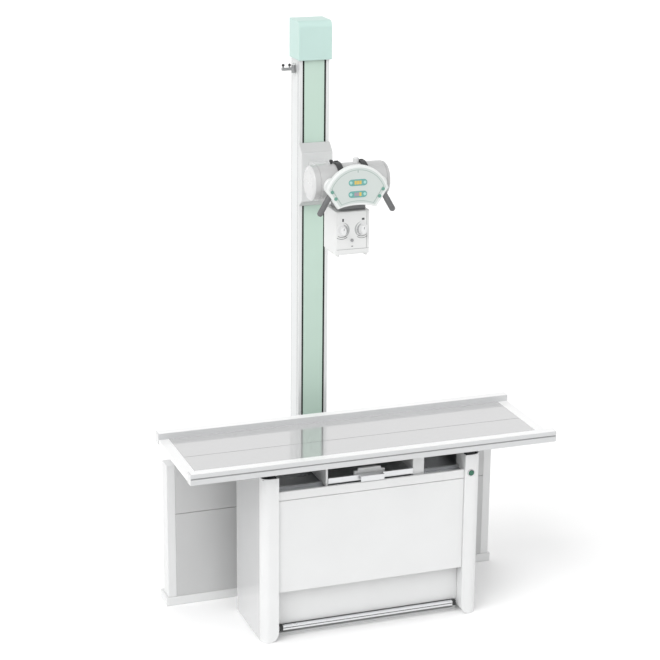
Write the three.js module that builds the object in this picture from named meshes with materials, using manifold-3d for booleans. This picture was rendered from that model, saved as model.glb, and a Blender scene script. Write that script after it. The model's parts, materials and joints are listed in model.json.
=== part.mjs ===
// Radiography table with its tube stand.
// A floating patient top stands on a pedestal with a cassette holder. A rear wall carries the rails of a
// counterbalanced column, which holds the X-ray tube, its control panel and the collimator.
// Millimetres, +Z up, +X along the top, origin on the floor under the middle of the top.

import * as THREE from 'three';
import { mergeVertices } from 'three/addons/utils/BufferGeometryUtils.js';
import Module from 'manifold-3d';

const wasm = await Module();
wasm.setup();

// Gaps used all over: between pieces that slide or turn, between covers, and the overshoot of a cutting tool
const runGap = 0.3;
const seamGap = 2;
const cutOver = 1;

// Pedestal
const pedestalLength = 1030;
const pedestalDepth = 382;
const pedestalHeight = 778;
const frontOverhang = 60;
const postWidth = 77;
const postDepth = 105;
const postRadius = 38;
const postFootRadius = 45;
const postWall = 4;
const sideThickness = 15;
const backThickness = 7;
const backTopDrop = 18;
const frontThickness = 12;
const frontSetback = 10;
const slotHeight = 70;
const beamHeight = 41;
const frontPanelBottom = 232;
const kickSetback = 60;
const kickThickness = 8;
const kickBottom = 56;
const kickLap = 8;
const basePlateThickness = 10;
const tongueWidth = 800;
const deckThickness = 4;

// Foot pedal and power button
const pedalSetback = 28;
const pedalBarDepth = 16;
const pedalBarHeight = 20;
const pedalBarBottom = 38;
const pedalArmWidth = 10;
const pedalArmHeight = 12;
const pedalPinRadius = 5;
const pedalEarWidth = 12;
const pedalEarDepth = 24;
const pedalPivotInset = 14;
const powerButtonRadius = 12;
const powerButtonLength = 13;
const powerButtonProud = 7;
const powerButtonInset = 49;
const powerButtonDrop = 85;

// Crosswise float
const crossRailWidth = 40;
const crossRailHeight = 38;
const crossRidgeWidth = 16;
const crossRidgeHeight = 12;
const slideLift = 2;
const slideThickness = 8;
const slideEndBar = 40;
const slideLongBar = 26;
const shoeWidth = 36;
const shoeLength = 160;

// Lengthways float
const floatRidgeWidth = 10;
const floatRidgeHeight = 10;
const runnerWidth = 30;
const runnerHeight = 25.7;
const runnerInset = 30;
const runnerLedgeGap = 9;

// Table top
const topLength = 1700;
const topWidth = 570;
const railWidth = 45;
const railLedge = 14;
const railUnderPanel = 9;
const railOverPanel = 28;
const railGrooveDrop = 19;
const railGrooveHeight = 6;
const railGrooveDepth = 5;
const panelThickness = 12;
const borderWidth = 48;
const centreLineWidth = 3;
const centreLineDepth = 0.8;

// Cassette holder
const buckyCentreX = 18;
const buckyLength = 464;
const buckyLeftCheek = 10;
const buckyRightCheek = 53;
const buckySetback = 30;
const buckyRearGap = 5;
const buckyRailWidth = 14;
const buckyRailHeight = 12;
const buckyRailInset = 48;
const buckyTopThickness = 10;
const buckyTopSetback = 45;
const buckyRearBar = 12;
const buckyDeckGap = 3;
const ledgeWidth = 10;
const ledgeThickness = 3.4;
const trayThickness = 5.7;
const trayBarDepth = 12;
const trayBarHeight = 26;
const trayBarProud = 5;
const trayRearGap = 3;
const pullWidth = 110;
const pullReach = 22;
const pullPlate = 6;
const jawWidth = 108;
const jawFootWidth = 144;
const jawDepth = 16;
const jawHeight = 42;
const jawFootHeight = 30;
const jawBarGap = 8;
const jawRearGap = 2;

// Rear wall and column rails
const wallLength = 1604;
const wallThickness = 77;
const wallTop = 690;
const wallGap = 5;
const wallEndWidth = 39;
const wallSheet = 12;
const wallBackSheet = 8;
const wallTopFlange = 10;
const wallSeamZ = 449;
const plinthOverhang = 10;
const plinthLip = 4;
const plinthDepth = 110;
const plinthHeight = 42;
const columnRailLength = 1480;
const upperRailDrop = 70;
const upperRailHeight = 48;
const upperRailThickness = 8;
const upperRidgeHeight = 16;
const upperRidgeDepth = 12;
const floorRailDepth = 160;
const floorRailThickness = 14;
const floorRidgeWidth = 16;
const floorRidgeHeight = 16;
const floorRidgeInset = 32;

// Column
const columnX = -50;
const columnSetback = 83;
const mastWidth = 140;
const mastDepth = 115;
const mastWall = 6;
const mastTop = 2540;
const slotWidth = 9;
const infillWidth = 93;
const trolleyWidth = 200;
const trolleyFootTop = 90;
const trolleyFootGap = 4;
const trolleyRearLip = 6;
const trolleyNoseHeight = 68;
const capSide = 8;
const capFront = 13;
const capRear = 6;
const capWall = 5;
const capLap = 74;
const capRise = 100;
const capFrontRadius = 30;
const sheaveBaseThickness = 8;
const sheaveBaseLap = 4;
const sheaveBaseDepth = 56;
const sheaveCheek = 8;
const sheaveWidth = 20;
const sheaveCheekGap = 3;
const sheaveRim = 4;
const sheaveAxleRadius = 6;
const sheaveHub = 42;

// Cable arm on the side of the mast
const cableLugReach = 17;
const cableLugEnd = 7;
const cableLugDepth = 16;
const cableLugThickness = 8;
const cableLugTopDrop = 20;
const cableHubHeight = 34;
const cableHubRadius = 9;
const cablePinRadius = 4;
const cableArmReach = 54;
const cableArmThickness = 12;
const cableHookRadius = 4;
const cableHookTop = 12;
const cableHookSpacing = 30;
const cableTipRadius = 6;

// Tube carriage and counterweight
const tubeAxisZ = 2018;
const coverWidth = 148;
const coverReach = 44;
const coverMastGap = 1.5;
const coverTopRise = 78;
const coverTopSlope = 39;
const coverBottomFall = 213;
const coverBottomSlope = 28;
const truckInset = 2;
const truckDepth = 38;
const truckBladeWidth = 6;
const truckRise = 42;
const truckFall = 178;
const counterweightDepth = 44;
const counterweightWidth = 110;
const counterweightBottom = 450;
const counterweightHeight = 1000;
const armWidth = 68;
const armHeight = 48;
const armCorner = 5;
const armEndY = 118;
const armDrop = 26;
const spigotRadius = 15;
const spigotLength = 38;

// Tube head
const tubeRadius = 78;
const tubeLeftReach = 185;
const tubeRightReach = 167;
const tubeEndStep = 3;
const tubeLeftBand = 36;
const tubeRightBand = 14;
const tubeBandGroove = 5;
const tubeEndRound = 12;
const yokeRadius = 46;
const neckRadius = 50;
const neckFall = 98;
const flangeHalfWidth = 62;
const flangeFront = 46;
const flangeRear = 62;
const flangeThickness = 21.7;
const flangeRadius = 6;

// Control panel, grips and thumb buttons
const panelBackY = -84;
const consoleThickness = 26;
const consoleBevel = 4;
const consoleArcRadius = 147;
const consoleArcFall = 58;
const consoleCornerAngle = 16;
const consoleBottomHalf = 87;
const consoleBottomFall = 97;
const consoleBottomRise = 13;
const strapOffset = 57;
const strapWidth = 24;
const strapThickness = 7.7;
const capsuleLength = 84;
const capsuleHeight = 28;
const capsuleProud = 2;
const capsuleRise = 15;
const capsuleFall = 36;
const gripRadius = 12.6;
const gripLength = 92;
const gripTilt = 30;
const gripRootAlong = 0.32;
const thumbRadius = 7.5;
const thumbLength = 10;
const thumbProud = 4;
const thumbHoleDepth = 12;
const thumbUpper = [115, -20];
const thumbLower = [99, -50];

// Collimator
const collimatorLeft = 80;
const collimatorRight = 72;
const collimatorFront = 70;
const collimatorRear = 94;
const collimatorHeight = 189;
const collimatorRadius = 8;
const windowWidth = 100;
const windowDepth = 100;
const windowRecess = 4;
const accessoryRailWidth = 8;
const accessoryRailHeight = 10;
const accessoryRailInset = 8;
const controlMiddle = -9;
const knobOffset = 46;
const knobFall = 80;
const knobShaftRadius = 5;
const knobShaftLength = 18;
const knobSkirtRadius = 27;
const knobSkirtThickness = 4;
const knobHalfWidth = 13;
const knobHalfHeight = 20;
const knobHeight = 24;
const knobCrown = 2;
const lampButtonRadius = 7;
const lampButtonLength = 13;
const lampButtonProud = 5;
const lampButtonHoleDepth = 14;
const lampButtonFall = 127;

// Facets of round pieces
const roundSides = 32;
const smallSides = 20;
const cornerSteps = 6;

// Finishes
const finish = (color, roughness, metalness) => new THREE.MeshStandardMaterial({ color, roughness, metalness });
const whitePaint = finish(0xe9ecec, 0.4, 0);
const greyPaint = finish(0xc9cccd, 0.4, 0);
const mintPaint = finish(0xc4ddd0, 0.45, 0);
const laminate = finish(0xd9dcdc, 0.15, 0);
const aluminium = finish(0xd2d5d7, 0.35, 0.9);
const steel = finish(0x9a9ea2, 0.35, 0.9);
const darkPlastic = finish(0x55585a, 0.5, 0);
const blackPlastic = finish(0x1c1d1e, 0.45, 0);
const greenPlastic = finish(0x0f5a3c, 0.35, 0);
const castIron = finish(0x4a4b4d, 0.7, 0.6);

// Places worked out from the sizes above
const pedestalHalf = pedestalLength / 2;
const pedestalFrontY = -topWidth / 2 + frontOverhang;
const pedestalRearY = pedestalFrontY + pedestalDepth;
const postInnerX = pedestalHalf - postWidth;
const postRearY = pedestalFrontY + postDepth;
const sideInnerX = pedestalHalf - sideThickness;
const backInnerY = pedestalRearY - backThickness;
const frontFaceY = pedestalFrontY + frontSetback;
const frontBackY = frontFaceY + frontThickness;
const slotBottomZ = pedestalHeight - slotHeight;
const beamBottomZ = slotBottomZ - beamHeight;
const kickFrontY = pedestalFrontY + kickSetback;
const kickBackY = kickFrontY + kickThickness;
const deckTopZ = slotBottomZ - buckyRailHeight;
const powerButtonX = pedestalHalf - powerButtonInset;
const powerButtonZ = pedestalHeight - powerButtonDrop;

const slideBottomZ = pedestalHeight + crossRidgeHeight + slideLift;
const slideTopZ = slideBottomZ + slideThickness;
const floatRidgeTopZ = slideTopZ + floatRidgeHeight;
const panelBottomZ = slideTopZ + runGap + runnerHeight;
const panelTopZ = panelBottomZ + panelThickness;
const railBottomZ = panelBottomZ - railUnderPanel;
const railTopZ = panelTopZ + railOverPanel;
const topHalf = topLength / 2;
const railInnerY = topWidth / 2 - railWidth;
const panelEndX = topHalf - borderWidth;
const floatRidgeY = railInnerY - railLedge - runnerLedgeGap - runnerWidth / 2;
const slideDepth = 2 * floatRidgeY + slideLongBar;

const wallHalf = wallLength / 2;
const plinthFrontY = topWidth / 2 + wallGap;
const plinthRearY = plinthFrontY + plinthDepth;
const wallFrontY = plinthFrontY + plinthLip;
const wallRearY = wallFrontY + wallThickness;
const wallPanelX = wallHalf - wallEndWidth;
const upperRailZ = wallTop - upperRailDrop;

const mastFrontY = wallRearY + columnSetback;
const mastRearY = mastFrontY + mastDepth;
const mastHalf = mastWidth / 2;
const capBottom = mastTop - capLap;
const capTop = mastTop + capRise;
const slotOffset = infillWidth / 2 + slotWidth / 2;
const coverBackY = mastFrontY - coverMastGap;
const coverFrontY = mastFrontY - coverReach;
const truckFrontY = mastFrontY + mastWall + truckInset;
const truckRearY = truckFrontY + truckDepth;
const counterweightRearY = mastRearY - mastWall - runGap;
const ropeFrontY = truckFrontY + truckDepth / 2;
const ropeRearY = counterweightRearY - counterweightDepth / 2;
const sheaveRadius = (ropeRearY - ropeFrontY) / 2;
const sheaveY = (ropeRearY + ropeFrontY) / 2;
const sheaveZ = mastTop + sheaveBaseThickness + sheaveHub;
const yokeEndY = armEndY - runGap;
const collimatorTop = -neckFall - flangeThickness - runGap;

const model = new THREE.Group();

// One named piece of the model
function addPiece(group, name, geometry, material) {
  const mesh = new THREE.Mesh(geometry, material);
  mesh.name = name;
  group.add(mesh);
}

// A group that holds the pieces of one body, placed by its reference point
function addBody(parent, x, y, z) {
  const group = new THREE.Group();
  group.position.set(x, y, z);
  parent.add(group);
  return group;
}

// A block between two corners
function block(xRange, yRange, zRange) {
  const middle = [xRange, yRange, zRange].map(([low, high]) => (low + high) / 2);
  const size = [xRange, yRange, zRange].map(([low, high]) => Math.abs(high - low));
  return new THREE.BoxGeometry(...size).translate(...middle);
}

// An outline through points, each [u, v]
function outline(points) {
  return new THREE.Shape(points.map(([u, v]) => new THREE.Vector2(u, v)));
}

const axisX = new THREE.Vector3(1, 0, 0);
const axisY = new THREE.Vector3(0, 1, 0);
const axisZ = new THREE.Vector3(0, 0, 1);
const prismTurns = {
  x: new THREE.Matrix4().makeBasis(axisY, axisZ, axisX),
  y: new THREE.Matrix4().makeBasis(axisX, axisZ, axisY.clone().negate()),
  z: new THREE.Matrix4(),
};

// A straight prism: the shape is drawn in (y, z), (x, z) or (x, y) and runs along x, y or z
function prism(axis, shape, low, high, bevel = 0) {
  const geometry = new THREE.ExtrudeGeometry(shape, {
    depth: high - low - 2 * bevel,
    bevelEnabled: bevel > 0,
    bevelThickness: bevel,
    bevelSize: bevel,
    bevelOffset: -bevel,
    bevelSegments: 2,
    curveSegments: cornerSteps,
  });
  geometry.translate(0, 0, bevel).applyMatrix4(prismTurns[axis]);
  const start = { x: [low, 0, 0], y: [0, high, 0], z: [0, 0, low] }[axis];
  return geometry.translate(...start);
}

// A turned solid: the profile gives [radius, place along the axis], starting and ending on the axis
function turned(axis, profile, sides = roundSides) {
  const geometry = new THREE.LatheGeometry(profile.map(([r, along]) => new THREE.Vector2(r, along)), sides);
  if (axis === 'x') geometry.rotateZ(-Math.PI / 2);
  if (axis === 'z') geometry.rotateX(Math.PI / 2);
  return geometry;
}

// A round rod along an axis, centred on the other two coordinates
function rod(axis, centre, radius, low, high, sides = roundSides) {
  const geometry = turned(axis, [[0, low], [radius, low], [radius, high], [0, high]], sides);
  const [a, b] = centre;
  const place = { x: [0, a, b], y: [a, 0, b], z: [a, b, 0] }[axis];
  return geometry.translate(...place);
}

// A closed geometry as a solid that can be joined and cut
function solidOf(geometry) {
  const bare = geometry.clone();
  bare.deleteAttribute('normal');
  bare.deleteAttribute('uv');
  const merged = mergeVertices(bare, 1e-4);
  const corners = Array.from(merged.index.array);
  const kept = [];
  for (let i = 0; i < corners.length; i += 3) {
    const [a, b, c] = corners.slice(i, i + 3);
    if (a !== b && b !== c && c !== a) kept.push(a, b, c);
  }
  const mesh = new wasm.Mesh({
    numProp: 3,
    vertProperties: new Float32Array(merged.attributes.position.array),
    triVerts: new Uint32Array(kept),
  });
  return new wasm.Manifold(mesh);
}

function geometryOf(solid) {
  const mesh = solid.getMesh();
  const geometry = new THREE.BufferGeometry();
  geometry.setAttribute('position', new THREE.BufferAttribute(mesh.vertProperties, 3));
  geometry.setIndex(new THREE.BufferAttribute(mesh.triVerts, 1));
  return geometry;
}

function join(...pieces) {
  return geometryOf(pieces.map(solidOf).reduce((whole, next) => whole.add(next)));
}

function cut(piece, ...tools) {
  return geometryOf(tools.map(solidOf).reduce((rest, tool) => rest.subtract(tool), solidOf(piece)));
}

// A range from the middle out to both sides
const around = (middle, width) => [middle - width / 2, middle + width / 2];

// Low and high of two places, whichever comes first
const between = (a, b) => [Math.min(a, b), Math.max(a, b)];

// Plan of a front post, with its outer front corner rounded; inset gives the hollow inside
function postPlan(side, inset) {
  const outerX = side * (pedestalHalf - inset);
  const innerX = side * (postInnerX + inset);
  const frontY = pedestalFrontY + inset;
  const rearY = postRearY - inset;
  const radius = postRadius - inset;
  const startAngle = side < 0 ? Math.PI : 0;
  const endAngle = side < 0 ? 1.5 * Math.PI : -0.5 * Math.PI;
  const shape = new THREE.Shape();
  shape.moveTo(outerX, rearY);
  shape.lineTo(outerX, frontY + radius);
  shape.absarc(outerX - side * radius, frontY + radius, radius, startAngle, endAngle, side > 0);
  shape.lineTo(innerX, frontY);
  shape.lineTo(innerX, rearY);
  return shape;
}

// Hollow front post with a rounded inner foot
function frontPost(side) {
  const body = prism('z', postPlan(side, 0), 0, pedestalHeight);
  const hollow = prism('z', postPlan(side, postWall), postFootRadius + postWall, pedestalHeight + cutOver);
  const innerX = side * postInnerX;
  const startAngle = side < 0 ? 0 : Math.PI;
  const endAngle = side < 0 ? -0.5 * Math.PI : 1.5 * Math.PI;
  const foot = new THREE.Shape();
  foot.moveTo(innerX - side * cutOver, -cutOver);
  foot.lineTo(innerX - side * cutOver, postFootRadius);
  foot.lineTo(innerX, postFootRadius);
  foot.absarc(innerX + side * postFootRadius, postFootRadius, postFootRadius, startAngle, endAngle, side < 0);
  foot.lineTo(innerX + side * postFootRadius, -cutOver);
  const footCut = prism('y', foot, pedestalFrontY - cutOver, postRearY + cutOver);
  return cut(body, hollow, footCut);
}

// Base plate with the tongue to the wall plinth and the two ears of the pedal
const pedalPivotY = kickBackY + pedalPivotInset;
const pedalPivotZ = pedalBarBottom + pedalArmHeight / 2;
const pedalEarInnerX = postInnerX - pedalEarWidth;

function basePlate() {
  const half = tongueWidth / 2;
  const right = [
    [postInnerX, kickBackY],
    [postInnerX, postRearY],
    [sideInnerX, postRearY],
    [sideInnerX, pedestalRearY],
    [half, pedestalRearY],
    [half, plinthFrontY],
  ];
  const left = right.map(([x, y]) => [-x, y]).reverse();
  const plate = prism('z', outline([...right, ...left]), 0, basePlateThickness);
  const earTop = pedalPivotZ + pedalEarDepth / 2;
  const earY = around(pedalPivotY, pedalEarDepth);
  const ears = [-1, 1].map((side) => {
    const ear = block(between(side * pedalEarInnerX, side * postInnerX), earY, [0, earTop]);
    const bore = [pedalEarInnerX - cutOver, postInnerX + cutOver].map((x) => side * x);
    const hole = rod('x', [pedalPivotY, pedalPivotZ], pedalPinRadius + runGap, ...between(...bore), smallSides);
    return cut(ear, hole);
  });
  return join(plate, ...ears);
}

function buildPedestal() {
  const base = addBody(model, 0, 0, 0);
  addPiece(base, 'base_plate', basePlate(), steel);
  const buttonBore = [pedestalFrontY - cutOver, pedestalFrontY + postWall + cutOver];
  const buttonPlace = [powerButtonX, powerButtonZ];
  const buttonHole = rod('y', buttonPlace, powerButtonRadius + runGap, ...buttonBore);
  addPiece(base, 'left_post', frontPost(-1), whitePaint);
  addPiece(base, 'right_post', cut(frontPost(1), buttonHole), whitePaint);
  for (const [name, side] of [['left', -1], ['right', 1]]) {
    const sideX = between(side * sideInnerX, side * pedestalHalf);
    const sidePanel = block(sideX, [postRearY, pedestalRearY], [0, pedestalHeight]);
    addPiece(base, `${name}_side_panel`, sidePanel, whitePaint);
    const railX = side * (sideInnerX - crossRailWidth / 2);
    const halfRail = crossRailWidth / 2;
    const halfRidge = crossRidgeWidth / 2;
    const ridgeTop = pedestalHeight + crossRidgeHeight;
    const rail = outline([
      [railX - halfRail, pedestalHeight - crossRailHeight],
      [railX + halfRail, pedestalHeight - crossRailHeight],
      [railX + halfRail, pedestalHeight],
      [railX + halfRidge, pedestalHeight],
      [railX + halfRidge, ridgeTop],
      [railX - halfRidge, ridgeTop],
      [railX - halfRidge, pedestalHeight],
      [railX - halfRail, pedestalHeight],
    ]);
    addPiece(base, `${name}_cross_rail`, prism('y', rail, postRearY, backInnerY), steel);
  }
  const backZ = [basePlateThickness, pedestalHeight - backTopDrop];
  const innerX = around(0, 2 * sideInnerX);
  addPiece(base, 'back_panel', block(innerX, [backInnerY, pedestalRearY], backZ), whitePaint);

  const frontX = around(0, 2 * (postInnerX - runGap));
  const frontY = [frontFaceY, frontBackY];
  const slotX = around(0, 2 * postInnerX);
  addPiece(base, 'front_beam', block(slotX, frontY, [beamBottomZ, slotBottomZ]), whitePaint);
  addPiece(base, 'front_panel', block(frontX, frontY, [frontPanelBottom, beamBottomZ - seamGap]), whitePaint);
  const kickZ = [kickBottom, frontPanelBottom + kickLap];
  addPiece(base, 'kick_panel', block(frontX, [kickFrontY, kickBackY], kickZ), whitePaint);

  const deckRight = [
    [postInnerX, frontBackY],
    [postInnerX, postRearY],
    [sideInnerX, postRearY],
    [sideInnerX, backInnerY],
  ];
  const deckLeft = deckRight.map(([x, y]) => [-x, y]).reverse();
  const deck = prism('z', outline([...deckRight, ...deckLeft]), deckTopZ - deckThickness, deckTopZ);
  addPiece(base, 'deck_plate', deck, steel);
  const railZ = [deckTopZ, slotBottomZ];
  const frontRailY = around(buckyRailFrontY, buckyRailWidth);
  const rearRailY = around(buckyRailRearY, buckyRailWidth);
  addPiece(base, 'front_bucky_rail', block(slotX, frontRailY, railZ), steel);
  addPiece(base, 'rear_bucky_rail', block(innerX, rearRailY, railZ), steel);
}

// Cassette holder: cheeks on the two rails, a top plate, and ledges for the tray
const buckyFrontY = pedestalFrontY + buckySetback;
const buckyRearY = backInnerY - buckyRearGap;
const buckyRailFrontY = buckyFrontY + buckyRailInset;
const buckyRailRearY = buckyRearY - buckyRailInset;
const buckyTopZ = slideBottomZ - 2 * buckyDeckGap;
const buckyBottomZ = deckTopZ + buckyDeckGap;
const buckyLeftX = -buckyLength / 2;
const buckyRightX = buckyLength / 2;
const trayLeftX = buckyLeftX + buckyLeftCheek;
const trayRightX = buckyRightX - buckyRightCheek;
const trayMiddleX = (trayLeftX + trayRightX) / 2;
const ledgeBottomZ = slotBottomZ + 2 * runGap;
const ledgeTopZ = ledgeBottomZ + ledgeThickness;
const trayBottomZ = ledgeTopZ + runGap;
const trayTopZ = trayBottomZ + trayThickness;
const trayRearY = buckyRearY - buckyRearBar - trayRearGap;
const trayBarFrontY = buckyFrontY - trayBarProud;
const trayBarBackY = trayBarFrontY + trayBarDepth;

function buckyFrame() {
  const notch = (y) => {
    const [low, high] = around(y, buckyRailWidth + 2 * runGap);
    const top = slotBottomZ + runGap;
    return [[low, buckyBottomZ], [low, top], [high, top], [high, buckyBottomZ]];
  };
  const cheek = outline([
    [buckyFrontY, buckyBottomZ],
    ...notch(buckyRailFrontY),
    ...notch(buckyRailRearY),
    [buckyRearY, buckyBottomZ],
    [buckyRearY, buckyTopZ],
    [buckyFrontY, buckyTopZ],
  ]);
  const topZ = [buckyTopZ - buckyTopThickness, buckyTopZ];
  const ledgeY = [buckyFrontY, buckyRearY];
  const ledgeZ = [ledgeBottomZ, ledgeTopZ];
  return join(
    prism('x', cheek, buckyLeftX, trayLeftX),
    prism('x', cheek, trayRightX, buckyRightX),
    block([buckyLeftX, buckyRightX], [buckyFrontY + buckyTopSetback, buckyRearY], topZ),
    block([trayLeftX, trayRightX], [buckyRearY - buckyRearBar, buckyRearY], [ledgeTopZ, buckyTopZ]),
    block([trayLeftX, trayLeftX + ledgeWidth], ledgeY, ledgeZ),
    block([trayRightX - ledgeWidth, trayRightX], ledgeY, ledgeZ),
  );
}

// Tray plate with its front bar and the hooked pull
function cassetteTray() {
  const trayX = [trayLeftX + runGap, trayRightX - runGap];
  const barTop = trayBottomZ + trayBarHeight;
  const pull = outline([
    [trayBarBackY - trayBarDepth / 2, barTop],
    [trayBarFrontY - pullReach, barTop],
    [trayBarFrontY - pullReach, trayBottomZ],
    [trayBarFrontY - pullReach + pullPlate, trayBottomZ],
    [trayBarFrontY - pullReach + pullPlate, barTop - pullPlate],
    [trayBarBackY - trayBarDepth / 2, barTop - pullPlate],
  ]);
  return join(
    block(trayX, [trayBarFrontY, trayRearY], [trayBottomZ, trayTopZ]),
    block(trayX, [trayBarFrontY, trayBarBackY], [trayBottomZ, barTop]),
    prism('x', pull, ...around(trayMiddleX, pullWidth)),
  );
}

// Clamp jaw that slides on the tray plate
function clampJaw(middleY) {
  const jawY = around(middleY, jawDepth);
  const bottom = trayTopZ + runGap;
  return join(
    block(around(trayMiddleX, jawWidth), jawY, [bottom, bottom + jawHeight]),
    block(around(trayMiddleX, jawFootWidth), jawY, [bottom, bottom + jawFootHeight]),
  );
}

function buildBucky() {
  const bucky = addBody(model, buckyCentreX, 0, 0);
  addPiece(bucky, 'bucky_frame', buckyFrame(), whitePaint);
  addPiece(bucky, 'cassette_tray', cassetteTray(), aluminium);
  addPiece(bucky, 'front_jaw', clampJaw(trayBarBackY + jawBarGap + jawDepth / 2), whitePaint);
  addPiece(bucky, 'rear_jaw', clampJaw(trayRearY - jawRearGap - jawDepth / 2), whitePaint);
}

// Foot pedal: a bar across the toe space on two arms that turn on pins in the ears
function footPedal() {
  const armOuterX = pedalEarInnerX - runGap;
  const barBackY = kickFrontY - pedalSetback + pedalBarDepth;
  const barY = [kickFrontY - pedalSetback, barBackY];
  const bar = block(around(0, 2 * armOuterX), barY, [pedalBarBottom, pedalBarBottom + pedalBarHeight]);
  const arms = [-1, 1].flatMap((side) => {
    const armX = between(side * (armOuterX - pedalArmWidth), side * armOuterX);
    const armY = [barBackY - pedalBarDepth / 2, pedalPivotY + pedalArmHeight / 2];
    const arm = block(armX, armY, [pedalBarBottom, pedalBarBottom + pedalArmHeight]);
    const pinX = between(side * (armOuterX - pedalArmWidth / 2), side * (postInnerX - cutOver));
    return [arm, rod('x', [pedalPivotY, pedalPivotZ], pedalPinRadius, ...pinX, smallSides)];
  });
  return join(bar, ...arms);
}

function buildControlsOnPedestal() {
  addPiece(addBody(model, 0, 0, 0), 'foot_pedal', footPedal(), aluminium);
  const faceY = pedestalFrontY - powerButtonProud;
  const buttonY = [faceY, faceY + powerButtonLength];
  const button = rod('y', [powerButtonX, powerButtonZ], powerButtonRadius, ...buttonY);
  addPiece(addBody(model, 0, 0, 0), 'power_button', button, greenPlastic);
}

// Cross slide: a frame on shoes over the cross rails, with two ridges for the runners of the top
function crossSlide() {
  const halfX = sideInnerX;
  const halfY = slideDepth / 2;
  const frame = outline([[-halfX, -halfY], [halfX, -halfY], [halfX, halfY], [-halfX, halfY]]);
  const innerX = halfX - slideEndBar;
  const innerY = halfY - slideLongBar;
  frame.holes.push(outline([[-innerX, -innerY], [-innerX, innerY], [innerX, innerY], [innerX, -innerY]]));
  const shoeMiddleY = (postRearY + backInnerY) / 2;
  const shoes = [-1, 1].map((side) => {
    const railX = side * (sideInnerX - crossRailWidth / 2);
    const groove = crossRidgeWidth / 2 + runGap;
    const grooveTop = pedestalHeight + crossRidgeHeight + runGap;
    const shoe = outline([
      [railX - shoeWidth / 2, pedestalHeight + runGap],
      [railX - groove, pedestalHeight + runGap],
      [railX - groove, grooveTop],
      [railX + groove, grooveTop],
      [railX + groove, pedestalHeight + runGap],
      [railX + shoeWidth / 2, pedestalHeight + runGap],
      [railX + shoeWidth / 2, slideTopZ],
      [railX - shoeWidth / 2, slideTopZ],
    ]);
    return prism('y', shoe, ...around(shoeMiddleY, shoeLength));
  });
  const ridges = [-1, 1].map((side) => {
    const ridgeY = around(side * floatRidgeY, floatRidgeWidth);
    return block([-halfX, halfX], ridgeY, [slideBottomZ, floatRidgeTopZ]);
  });
  return join(prism('z', frame, slideBottomZ, slideTopZ), ...shoes, ...ridges);
}

// Rail along one side of the top: groove outside, ledge for the panel inside
function topRail(side) {
  const outerY = side * topWidth / 2;
  const innerY = side * railInnerY;
  const ledgeY = side * (railInnerY - railLedge);
  const grooveY = outerY - side * railGrooveDepth;
  const grooveTop = railTopZ - railGrooveDrop;
  const grooveBottom = grooveTop - railGrooveHeight;
  const section = outline([
    [outerY, railBottomZ],
    [ledgeY, railBottomZ],
    [ledgeY, panelBottomZ],
    [innerY, panelBottomZ],
    [innerY, railTopZ],
    [outerY, railTopZ],
    [outerY, grooveTop],
    [grooveY, grooveTop],
    [grooveY, grooveBottom],
    [outerY, grooveBottom],
  ]);
  return prism('x', section, -topHalf, topHalf);
}

// End border, level with the panel, with a ledge under the panel's end
function endBorder(side) {
  const ledgeHalf = railInnerY - railLedge;
  const upperX = between(side * panelEndX, side * topHalf);
  const lowerX = between(side * (panelEndX - railLedge), side * topHalf);
  return join(
    block(upperX, [-railInnerY, railInnerY], [panelBottomZ, panelTopZ]),
    block(lowerX, [-ledgeHalf, ledgeHalf], [railBottomZ, panelBottomZ]),
  );
}

// Runner under the top, grooved over a ridge of the cross slide
function topRunner(side) {
  const y = side * floatRidgeY;
  const half = runnerWidth / 2;
  const groove = floatRidgeWidth / 2 + runGap;
  const bottom = slideTopZ + runGap;
  const section = outline([
    [y - half, bottom],
    [y - groove, bottom],
    [y - groove, floatRidgeTopZ + runGap],
    [y + groove, floatRidgeTopZ + runGap],
    [y + groove, bottom],
    [y + half, bottom],
    [y + half, panelBottomZ],
    [y - half, panelBottomZ],
  ]);
  return prism('x', section, runnerInset - panelEndX, panelEndX - runnerInset);
}

function buildTop() {
  addPiece(addBody(model, 0, 0, 0), 'cross_slide', crossSlide(), steel);
  const top = addBody(model, 0, 0, 0);
  const half = centreLineWidth / 2;
  const section = outline([
    [-railInnerY, panelBottomZ],
    [railInnerY, panelBottomZ],
    [railInnerY, panelTopZ],
    [half, panelTopZ],
    [half, panelTopZ - centreLineDepth],
    [-half, panelTopZ - centreLineDepth],
    [-half, panelTopZ],
    [-railInnerY, panelTopZ],
  ]);
  addPiece(top, 'top_panel', prism('x', section, -panelEndX, panelEndX), laminate);
  addPiece(top, 'front_rail', topRail(-1), aluminium);
  addPiece(top, 'rear_rail', topRail(1), aluminium);
  addPiece(top, 'left_border', endBorder(-1), whitePaint);
  addPiece(top, 'right_border', endBorder(1), whitePaint);
  addPiece(top, 'front_runner', topRunner(-1), steel);
  addPiece(top, 'rear_runner', topRunner(1), steel);
}

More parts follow.
